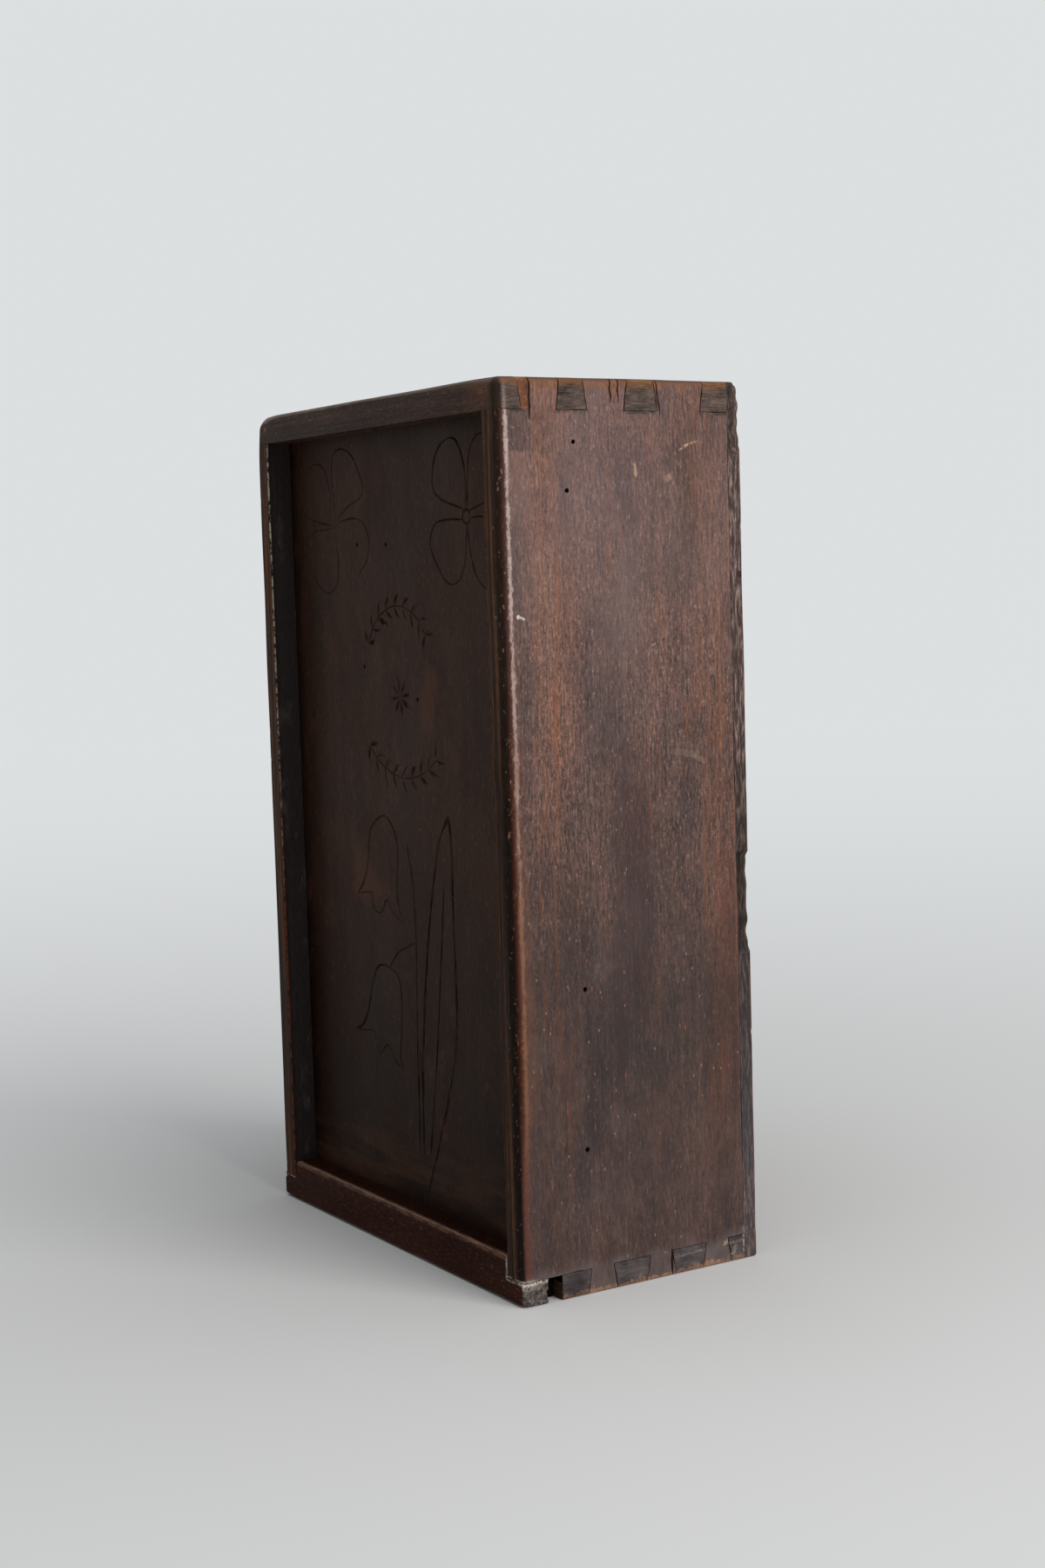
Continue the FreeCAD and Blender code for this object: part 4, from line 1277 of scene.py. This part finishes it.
def flow(spots, step=1.0):
    """A smooth line through spots (in mm): between each two of them a cubic whose slope at a spot
    is half the way from the spot before to the one after, read every step."""
    spots = np.array(spots, float)
    padded = np.concatenate([2 * spots[:1] - spots[1:2], spots, 2 * spots[-1:] - spots[-2:-1]])
    before, start, end, after = padded[:-3], padded[1:-2], padded[2:-1], padded[3:]
    t = np.linspace(0, 1, 24, endpoint=False)[None, :, None]
    b, s, e, a = (part[:, None] for part in (before, start, end, after))
    line = s + t / 2 * (e - b) + t**2 * (b - 2.5 * s + 2 * e - a / 2) + t**3 * (1.5 * (s - e) + (a - b) / 2)
    line = np.concatenate([line.reshape(-1, 2), spots[-1:]])
    run = np.concatenate([[0], np.cumsum(np.linalg.norm(np.diff(line, axis=0), axis=1))])
    count = max(3, round(run[-1] / step) + 1)
    even = np.linspace(0, run[-1], count)
    return np.column_stack([np.interp(even, run, line[:, axis]) for axis in (0, 1)])


def sprig(centre, radius, start, end, seed):
    """A hair-thin arc with pairs of leaves leaning away from it on both sides. Each leaf is one
    bold cut, widest in its middle."""
    angles = np.radians(np.linspace(start, end, 9))
    ring = np.column_stack([np.cos(angles), np.sin(angles)])
    middle = np.array(centre) + ring * radius
    ahead = np.column_stack([-ring[:, 1], ring[:, 0]]) * np.sign(end - start)
    draw = np.random.default_rng(seed)
    cuts = [(flow(middle), 0.6)]
    for spot, out, way in zip(middle, ring, ahead):
        for side in (-1, 1):
            tip = spot + way * 3.6 + out * side * 4.9 + draw.normal(0, 0.3, 2)
            belly = (spot + tip) / 2 + out * side * 0.9
            cuts.append((flow([spot + out * side * 0.7, belly, tip]), 1.7))
    return cuts


def lid_drawing():
    """Every cut of the carving as its line on the lid's face and how bold it is."""
    left_flower = [
        [(-51, 303), (-51.8, 312), (-52.8, 322), (-50.6, 330.4), (-43, 332.8), (-34, 329.2), (-27.4, 320.8),
         (-25, 314.6), (-28.6, 311), (-39, 308.2), (-48.6, 303)],
        [(-54, 305), (-55, 316), (-59.6, 325), (-67, 327.6), (-75.6, 324.4), (-81.6, 317), (-82.4, 310),
         (-76.8, 305.4), (-66, 302.6), (-54, 300.8)],
        [(-53.6, 299.6), (-69, 298.6), (-76.8, 294.4), (-75.6, 285.8), (-69.2, 276.8), (-60, 272),
         (-52, 275), (-49, 283), (-50.6, 295)],
        [(-47.6, 301.8), (-34.8, 303.2), (-25.4, 300.6), (-21.2, 293.8), (-23, 286), (-30.6, 279.8)],
    ]
    right_flower = [
        [(57.4, 303.2), (51.4, 304.6), (40.4, 307.6), (33.6, 312.6), (35.4, 323.4), (42.4, 329.8),
         (51.4, 330.6), (57, 323.6), (59.4, 313), (58.6, 304)],
        [(60.2, 304), (61, 314), (62.6, 324.6), (69, 331), (78, 329.6), (85.4, 322.6), (87, 312.6),
         (80, 307), (70, 304.4), (61.6, 302.6)],
        [(56.2, 299.2), (45.2, 299.6), (34.4, 298.2), (30.2, 290.6), (34.6, 282.6), (43, 275),
         (51.4, 275.4), (57, 283), (59, 296.6)],
        [(59.8, 296.8), (61, 287.4), (65.6, 276.8), (74, 272), (83.6, 275), (89, 284), (87.6, 293),
         (80, 298), (70, 299.8), (62, 299.6)],
    ]
    faint, firm = (0.62, 0.5, 0.5, 0.6), (0.95, 0.8, 0.85, 0.8)
    cuts = [(flow(spots), bold) for spots, bold in zip(left_flower, faint)]
    cuts += [(flow(spots), bold) for spots, bold in zip(right_flower, firm)]
    turn = np.linspace(0, 2 * math.pi, 24)
    cuts.append((np.column_stack([59 + 2.8 * np.cos(turn), 300.2 + 2.8 * np.sin(turn)]), 0.9))
    cuts += sprig((0.8, 237.7), 28.5, 152, 36, 31)
    cuts += sprig((3.3, 238.1), 42.5, 226, 308, 32)
    # the rosette: eight short cuts round a dot
    for number in range(8):
        angle = math.radians(45 * number + 9)
        way = np.array([math.cos(angle), math.sin(angle)])
        cuts.append((flow([way * reach + (1.4, 229) for reach in (1.8, 4.2, 7.2)]), 1.6))
    # the upper and the lower bell flower, each with the wavy hem of its mouth
    cuts += [
        (flow([(-42.4, 143.1), (-35.2, 150.6), (-31.4, 160), (-29.6, 170), (-24, 176), (-15.8, 178.6),
               (-9, 174.2), (-5.5, 165.6), (-6.9, 150), (-6.3, 142), (-2.3, 134.4)]), 0.85),
        (flow([(-42.4, 143.1), (-35, 144.6), (-29.6, 144.6), (-27.6, 138.4), (-21.6, 137.2), (-16.4, 143.2),
               (-11.6, 138.8), (-2.3, 134.4)]), 0.5),
        (flow([(-48.4, 83.2), (-41.5, 86.6), (-36, 94), (-31, 106.6), (-25.6, 113.8), (-16, 114.4),
               (-7.3, 109.4), (-7.2, 91), (-9.3, 78.4), (-6.4, 71.9)]), 0.8),
        (flow([(-48.4, 83.2), (-39, 84.2), (-32.2, 84.6), (-29.6, 79), (-26.6, 75.8), (-20, 80.8),
               (-14.2, 75.2), (-6.4, 71.9)]), 0.5),
    ]
    # the stem, doubled low down, the branch to the lower bell, and the leaf with its rib
    cuts += [
        (flow([(2.6, 168.4), (6.6, 152), (7.8, 131), (6.7, 106), (5.8, 81), (5.2, 42.6)]), 0.95),
        (flow([(7.4, 84), (9, 62), (7.8, 44)]), 0.6),
        (flow([(-16, 114.2), (-8.4, 121.4), (-1, 124.6), (7.4, 127.6)]), 0.8),
        (flow([(37.4, 182.6), (28.6, 168.6), (19, 135), (12.8, 100), (9.4, 69), (8.4, 42.4)]), 1.3),
        (flow([(37.4, 182.6), (39.4, 168), (38.9, 147), (39.4, 100), (35.6, 80.6), (23.4, 50),
               (11.4, 23.6)]), 1.3),
        (flow([(32.2, 153.2), (27.4, 119), (22.8, 87.6), (15.8, 50.2), (14.2, 41)]), 0.95),
    ]
    return cuts


def stroke_shape(line, bold):
    """How wide half of a cut is at each point of its line: it thins out over its last 3 mm, and
    the knife bore down unevenly on the way."""
    run = np.concatenate([[0], np.cumsum(np.linalg.norm(np.diff(line, axis=0), axis=1))])
    left = np.minimum(run, run[-1] - run)
    press = 1 + 0.3 * ripple(np.pad(line, ((0, 0), (0, 1))), 11, 35)
    return lid_cut_wide / 2 * bold * press * np.clip(left / 3.0, 0.06, 1) ** 0.5


def cut_depth(places, cuts):
    """How deep the carving goes at each place: for the nearest spot of each line, a V that is
    deepest on the line and nothing at half its width, and of crossing cuts the deeper one."""
    deep = np.zeros(len(places))
    for line, bold in cuts:
        line = line * mm
        half = stroke_shape(line / mm, bold)
        around = (places > line.min(0) - 2 * mm) & (places < line.max(0) + 2 * mm)
        close = np.flatnonzero(around.all(axis=1))
        start, way = line[:-1], np.diff(line, axis=0)
        gap = places[close, None] - start[None]
        along = np.clip((gap * way).sum(axis=2) / (way**2).sum(axis=1), 0, 1)
        off = np.linalg.norm(gap - along[..., None] * way, axis=2)
        width = half[:-1] + (half[1:] - half[:-1]) * along
        share = np.clip(1 - off / width, 0, 1) * width / (lid_cut_wide / 2)
        deep[close] = np.maximum(deep[close], share.max(axis=1))
    return deep * lid_cut_deep


def lid_piece():
    """The panel's skin as a plank's, but with its front laid over a net of points: an even,
    shaken net, with three lines of points along each cut, joined into the most regular
    triangles. Each point then sinks by the cut's depth."""
    across = rule(lid_low[0], lid_high[0], 4 * mm, 0.6 * mm, 1.8 * mm)
    tall = rule(lid_low[2], lid_high[2], 4 * mm, 0.6 * mm, 1.8 * mm)
    deep = rule(lid_low[1], lid_high[1], 1.2 * mm, 0.5 * mm, 1.5 * mm)
    points, faces = plank_skin([across, deep, tall], skip=(1, 0))
    cuts = lid_drawing()
    flat, bounds = [], []
    for line, bold in cuts:
        way = np.gradient(line, axis=0)
        side = np.column_stack([-way[:, 1], way[:, 0]]) / np.linalg.norm(way, axis=1, keepdims=True)
        half = stroke_shape(line, bold)[:, None]
        start = sum(len(part) for part in flat)
        bounds += [(start + i, start + i + 1) for i in range(len(line) - 1)]
        flat += [line * mm, line * mm + side * half, line * mm - side * half]
    cut_points = np.concatenate(flat)
    rows, columns = np.meshgrid(tall, across, indexing="ij")
    net = np.column_stack([columns.ravel(), rows.ravel()])
    ends = np.array([(across[0], tall[0]), (across[-1], tall[-1])])
    rim = (net == ends[0]).any(axis=1) | (net == ends[1]).any(axis=1)
    draw = np.random.default_rng(33)
    shaken = net + draw.uniform(-0.8 * mm, 0.8 * mm, net.shape)
    near_edge = np.abs(net - (0, tall.mean())) > np.array([lid_high[0], tall.mean()]) - 4 * mm
    net = np.where(near_edge.any(axis=1)[:, None], net, shaken)
    space = np.array([np.linalg.norm(cut_points - spot, axis=1).min() for spot in net])
    net = net[rim | (space > 1.1 * mm)]
    spots = np.concatenate([cut_points, net])
    result = delaunay_2d_cdt([Vector(spot) for spot in spots], bounds, [], 0, mm / 5000)
    spots = np.array([tuple(spot) for spot in result[0]])
    triangles = np.array(result[2])
    front_face = np.column_stack([spots[:, 0], np.full(len(spots), lid_low[1]), spots[:, 1]])
    count = sum(len(patch) for patch in points)
    board = sew("lid_board_carved", points + [front_face], faces + [triangles + count])
    points = points_of(board)
    face = points[:, 1] < lid_low[1] + mm / 100
    sink = np.where(face, cut_depth(points[:, [0, 2]], cuts), 0)
    points[:, 1] += sink
    move_points(board, points)
    note(board, "cut", sink / lid_cut_deep)
    worms = [(-31.8, 292.1), (-6.6, 291.4), (-28.7, 241), (15.9, 228.3)]
    tools = [
        drill((aside * mm, lid_low[1], height * mm), 0.9 * mm, 4 * mm, (1, 1), 50 + n)
        for n, (aside, height) in enumerate(worms)
    ]
    cut(board, tools + brad_holes())
    points = points_of(board)
    warp = 0.09 * mm * (1 + ripple(points * [1, 0, 1], 70 * mm, 34))
    points[:, 1] += np.where(points[:, 1] < lid_low[1] + mm, warp, 0)
    move_points(board, draw_in(points, lid_low, lid_high, 0.55 * mm))
    shade_soft(board, 30)
    return board


brad_low, brad_high = (np.array(corner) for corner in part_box("strip_brads"))
strip_low, strip_high = (np.array(corner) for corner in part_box("lid_end_strip"))
brad_head, brad_head_thick, brad_shank, brad_tip = 2.6 * mm, 0.6 * mm, 1.4 * mm, 0.7 * mm
brad_face = brad_high[1]
brad_sizes = (brad_head, brad_head_thick, brad_shank, brad_tip, brad_high[1] - brad_low[1])
brad_row = (brad_low[2] + brad_high[2]) / 2
outer_brads = 75 * mm
brad_places = [(across, brad_row) for across in np.linspace(-outer_brads, outer_brads, 4)]


def brad_holes():
    """Cutters for the brads' holes, a hair wider than the brads."""
    return [
        bar("brad_hole", nail_solid(place, brad_face, brad_sizes, 220 + n, 0.06 * mm, 2 * mm))
        for n, place in enumerate(brad_places)
    ]


lid_board = lid_piece()
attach(lid_board, "lid")
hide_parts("lid_board")


def lid_finish():
    """Very dark satin brown with fine upright grain, a few red-brown rubbed patches, dirt in the
    carving and bare wood inside the case, and painted shade: darker towards the foot, along the
    left edge and under the top rail, and black in the notches by the foot."""
    coat = Finish("lid_wood_polished")
    tall, out = coat.z * (1 / mm), coat.x * (1 / mm)
    rubbed = coat.cloud((26, 26, 60), 231, detail=3) * 0.3
    colour, relief = old_wood(coat, 2, 230, "3f2a20", "302119", "543121", rubbed, bold=0.3)
    # painted shade: darker towards the foot
    colour = coat.toned(colour, 0.96 - tall.rise(200, 30) * 0.52)
    # painted shade along the left edge and under the top rail
    painted_shade_edges = out.rise(-50, 3 - inner_face) * 0.25 + out.rise(8 - inner_face, 1 - inner_face) * 0.3
    painted_shade_edges = painted_shade_edges + tall.rise(320, top_shoulder - 1) * 0.3
    colour = coat.toned(colour, 1.0 - painted_shade_edges)
    patch = coat.cloud((14, 14, 18), 232, detail=4, rough=0.6)
    by_bell = out.near(-36, 20) * tall.near(153, 24) + out.near(25, 12) * tall.near(226, 22) * 0.8
    colour = coat.coat(colour, "633f30", (by_bell + patch - 0.55).rise(0.1, 0.7) * 0.4)
    low_dust = tall.rise(60, 20) * coat.cloud((50, 50, 8), 233).rise(0.3, 0.8)
    colour = coat.coat(colour, "5a3b2a", low_dust * 0.4)
    cut_in = coat.noted("cut")
    worn_line = coat.cloud((16, 16, 16), 236, detail=3).rise(0.42, 0.72)
    line_colour = coat.coat(coat.toned(colour, 0.45), "5a4536", worn_line * 0.6)
    colour = coat.coat(colour, line_colour, cut_in.rise(0.1, 0.7) * 0.75)
    specks = coat.specks((3.2, 3.2, 3.2), 234, 0.03, grow=0.14)
    colour = coat.coat(colour, "9a8676", specks * 0.5)
    hidden = ((coat.y - front) * (1 / mm)).rise(lip_rear + 0.8, lip_rear + 1.2)
    colour = coat.coat(colour, coat.toned(colour, 1.6), hidden)
    # painted shade: black where the lid lies in the notches by its foot
    notch_shade = out.size().rise(inner_face + 1.5, inner_face + 3.5) * tall.rise(30, 14)
    colour = coat.coat(colour, "0d0807", notch_shade)
    shine = coat.cloud((30, 30, 50), 235, detail=3)
    roughness = 0.4 + shine * 0.12 + cut_in * 0.3
    return coat.close_up(colour, roughness, relief, 0.05, 0.05)


paint(lid_board, lid_finish())

# ---------------------------------------------------------------------------------------------
# The lid's end strip: a short hardwood bar bradded across the lid's foot. It fills the gap below
# the sides, its two ends sit in notches, and its upper arris is polished where fingers pull it.

strip_shoulder, strip_neck = 9.7 * mm, 90.7 * mm


def strip_piece():
    """A ruled plank less a notch at both ends, the brads' holes and the knocks. The arrises above
    the notches are rounded, and the under edge lifts by the square of the way to the front."""
    lines = [
        rule(strip_low[0], strip_high[0], 1.6 * mm, 0.5 * mm, 4 * mm),
        rule(strip_low[1], strip_high[1], 0.9 * mm, 0.4 * mm, 2.4 * mm),
        rule(strip_low[2], strip_high[2], 0.7 * mm, 0.35 * mm, 2.1 * mm),
    ]
    strip = plank("lid_end_strip_worn", lines)
    room = 2 * mm
    tools = []
    for sign in (-1, 1):
        spans = np.sort([sign * strip_neck, sign * (strip_high[0] + room)])
        low = (spans[0], strip_low[1] - room, strip_shoulder)
        tools.append(box_tool(low, (spans[1], strip_high[1] + room, strip_high[2] + room)))
    tools += brad_holes()
    tools += [
        gouge((66 * mm, strip_low[1], 17.7 * mm), (4 * mm, 0.7 * mm, 0.6 * mm), 61),
        gouge((-20 * mm, strip_low[1] - 0.1 * mm, 17.8 * mm), (7 * mm, 0.7 * mm, 0.6 * mm), 62),
        gouge((-102 * mm, strip_low[1] - 0.2 * mm, 9.2 * mm), (2.2 * mm, 1.4 * mm, 1.6 * mm), 63),
        gouge((97 * mm, strip_low[1] - 0.3 * mm, 9.9 * mm), (3 * mm, 1.2 * mm, 0.9 * mm), 64),
        gouge((102 * mm, strip_low[1] + 3 * mm, 9.9 * mm), (1.8 * mm, 2.6 * mm, 0.9 * mm), 65),
        gouge((102 * mm, strip_low[1] + 9.5 * mm, 9.8 * mm), (1.2 * mm, 1.7 * mm, 0.6 * mm), 66),
        gouge((102.2 * mm, strip_high[1], 4 * mm), (1.1 * mm, 0.8 * mm, 2.4 * mm), 67),
    ]
    cut(strip, tools)
    rub(strip, 22)
    points = points_of(strip)
    low, high = np.array([-strip_neck, strip_low[1], -1.0]), np.array([strip_neck, 1.0, strip_high[2]])
    worn = 1.3 * mm + 0.45 * mm * ripple(points, 16 * mm, 23)
    rounded = draw_in(points, low, high, worn)
    points = np.where(points[:, 2:] > strip_shoulder + 1.2 * mm, rounded, points)
    # the under edge is worn away towards the front
    lift = 0.8 * mm * np.clip(1 - (points[:, 1] - strip_low[1]) / (8 * mm), 0, 1) ** 2
    points[:, 2] += np.where(points[:, 2] < 1.5 * mm, lift * (1 + 0.3 * ripple(points, 25 * mm, 24)), 0)
    move_points(strip, points)
    shade_soft(strip)
    return strip


strip = strip_piece()
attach(strip, "lid")
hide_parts("lid_end_strip")


def strip_finish():
    """Dark red-brown wood, grain along the strip, with a rubbed arris, pale end grain and painted
    shade on its top face.
    """
    coat = Finish("strip_wood_worn")
    tall, out = coat.z * (1 / mm), coat.x.size() * (1 / mm)
    near = (coat.y - front) * (1 / mm)
    rubbed = coat.cloud((50, 8, 8), 241, detail=3) * 0.5
    colour, relief = old_wood(coat, 0, 240, "3a1d13", "26120c", "5c2f1b", rubbed, bold=0.6)
    edge = coat.edge(0.04, 0.25)
    fray = coat.cloud((6, 1.4, 1.4), 242, detail=4, rough=0.7)
    strip_top = float(strip_high[2] / mm)
    top_rim = tall.rise(strip_top - 2.2, strip_top - 0.6) * near.rise(3.5, 1.5)
    colour = coat.coat(colour, "7d6050", top_rim * fray.rise(0.2, 0.7) * 0.75)
    colour = coat.coat(colour, "5d4034", (edge + fray * 0.4).rise(0.5, 0.9) * 0.4)
    # painted shade: the top face behind the front arris made darker
    colour = coat.coat(colour, coat.toned(colour, 0.45), coat.nz.rise(0.75, 0.95) * near.rise(2, 3.5))
    rings = coat.cloud((3, 3.4, 0.55), 243, detail=4, rough=0.7, warp=0.9)
    speckle = coat.cloud((1.5, 1.5, 1.5), 244, detail=4, rough=0.8)
    end_wood = coat.coat("37322f", "7f7470", (rings * 0.3 + speckle * 0.8).rise(0.32, 0.9))
    ends = out.rise(outer_face - 1.1, outer_face - 0.4)
    colour = coat.coat(colour, end_wood, ends)
    sunk = coat.noted("sunk")
    raw = sunk.rise(0.15, 0.5) * sunk.rise(2.2, 1.4)
    colour = coat.coat(colour, coat.coat("6a4a38", "b0917a", fray), raw * tall.rise(5, 9) * 0.8)
    # pale at the right notch, along both of its faces and high on the end
    neck, shoulder = strip_neck / mm, strip_shoulder / mm
    pale_gap = out.near(neck - 0.2, 1.5) * tall.rise(shoulder - 1.7, shoulder + 0.3)
    pale_gap = pale_gap + tall.near(shoulder - 0.1, 1.6) * out.rise(neck - 0.7, neck + 1.3)
    pale_gap = pale_gap + ends * tall.rise(6, 8.5) * near.rise(9, 2) * 0.7
    right_end = coat.x.rise(0, 0.01)
    colour = coat.coat(colour, "d0c2b7", pale_gap * right_end * (fray + rings * 0.7 - 0.3).rise(0.2, 0.6))
    roughness = 0.44 + fray * 0.12
    return coat.close_up(colour, roughness, relief, 0.08, 0.03)


paint(strip, strip_finish())

# ---------------------------------------------------------------------------------------------
# The strip's brads: four short iron nails, driven from behind through the lid and into the strip,
# their heads flush with the lid's inner face.

strip_brads = bar(
    "strip_brads_forged",
    *[nail_solid(place, brad_face, brad_sizes, 220 + n) for n, place in enumerate(brad_places)],
)
shade_soft(strip_brads, 24)
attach(strip_brads, "lid")
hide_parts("strip_brads")
paint(strip_brads, iron_finish("brad_iron_rusted", 250))

# ---------------------------------------------------------------------------------------------
# The studio: a pale floor that goes on up as the backdrop, soft lamps, and the camera. The floor
# rides with the lid, because the lid comes out of the box's foot and the box is then held up.

floor_reach = 6.0
floor_corners = np.array([(-1, -1, 0), (1, -1, 0), (1, 1, 0), (-1, 1, 0)]) * floor_reach
floor = make_piece("floor", floor_corners, [(0, 1, 2, 3)])
backdrop = (0.72, 0.74, 0.75, 1)


def floor_finish():
    """A pale matt floor that turns into the backdrop's plain tone away from the box."""
    coat = Finish("floor_paint")
    matt = coat.node("BsdfDiffuse")
    matt.inputs["Color"].default_value = (0.84, 0.84, 0.83, 1)
    plain = coat.node("Emission")
    plain.inputs["Color"].default_value = backdrop
    path = coat.node("LightPath").outputs
    mirrored = coat.larger(path["Is Glossy Ray"], path["Is Transmission Ray"])
    seen = coat.larger(path["Is Camera Ray"], mirrored)
    reach = coat.work("SQRT", coat.x * coat.x + coat.y * coat.y)
    away = coat.work("DIVIDE", reach, reach + 0.5)
    either = coat.node("MixShader")
    coat.feed(either.inputs[0], away.rise(0.15, 0.86) * seen)
    coat.feed(either.inputs[1], matt.outputs[0])
    coat.feed(either.inputs[2], plain.outputs[0])
    coat.feed(coat.node("OutputMaterial").inputs[0], either.outputs[0])
    return coat.material


paint(floor, floor_finish())
floor.parent = frame["bodies"]["lid"]

scene = bpy.context.scene
scene.view_settings.view_transform = "Standard"
world = bpy.data.worlds.new("studio_air")
world.use_nodes = True
air = world.node_tree
glow = air.nodes["Background"]
glow.inputs["Color"].default_value = (0.95, 0.97, 1.0, 1)
glow.inputs["Strength"].default_value = 0.2
wall = air.nodes.new("ShaderNodeBackground")
wall.inputs["Color"].default_value = backdrop
path = air.nodes.new("ShaderNodeLightPath")
seen = path.outputs["Is Camera Ray"]
for ray in ("Is Transmission Ray", "Is Glossy Ray"):
    wider = air.nodes.new("ShaderNodeMath")
    wider.operation = "MAXIMUM"
    air.links.new(seen, wider.inputs[0])
    air.links.new(path.outputs[ray], wider.inputs[1])
    seen = wider.outputs[0]
either = air.nodes.new("ShaderNodeMixShader")
air.links.new(seen, either.inputs[0])
air.links.new(glow.outputs[0], either.inputs[1])
air.links.new(wall.outputs[0], either.inputs[2])
air.links.new(either.outputs[0], air.nodes["World Output"].inputs[0])
scene.world = world


def soft_lamp(name, place, aim, size, watts, colour):
    """A square lamp at place, turned to face aim."""
    light = bpy.data.lights.new(name, "AREA")
    light.shape = "RECTANGLE"
    light.size, light.size_y = size
    light.energy = watts
    light.color = colour
    lamp = bpy.data.objects.new(name, light)
    lamp.location = place
    lamp.rotation_euler = (Vector(aim) - Vector(place)).to_track_quat("-Z", "Y").to_euler()
    scene.collection.objects.link(lamp)


soft_lamp("window", (1.6, 0.35, 0.9), (0, 0, 0.18), (1.2, 1.4), 22, (1.0, 0.99, 0.97))
soft_lamp("ceiling", (0.1, -0.2, 2.2), (0, 0, 0.1), (1.8, 1.8), 11, (0.97, 0.98, 1.0))

# The camera stands off the box's front right corner, a little above its middle.
turn, tilt, roll = math.radians(58.07), math.radians(5.16), math.radians(-1.71)
aim = np.array([0, 0, 175 * mm])
away = np.array([math.sin(turn) * math.cos(tilt), -math.cos(turn) * math.cos(tilt), math.sin(tilt)])
across = np.array([math.cos(turn), math.sin(turn), 0])
upward = np.cross(away, across)
right = math.cos(roll) * across + math.sin(roll) * upward
above = -math.sin(roll) * across + math.cos(roll) * upward
standoff, slide_right, slide_up = 952.2 * mm, 11.5 * mm, 14.7 * mm
place = aim + away * standoff + right * slide_right + above * slide_up
lens = bpy.data.cameras.new("camera")
lens.lens = 51.66
lens.sensor_width = 36
lens.sensor_fit = "AUTO"
camera = bpy.data.objects.new("camera", lens)
camera.matrix_world = Matrix(
    [[right[i], above[i], away[i], place[i]] for i in range(3)] + [[0, 0, 0, 1]]
)
scene.collection.objects.link(camera)
scene.camera = camera
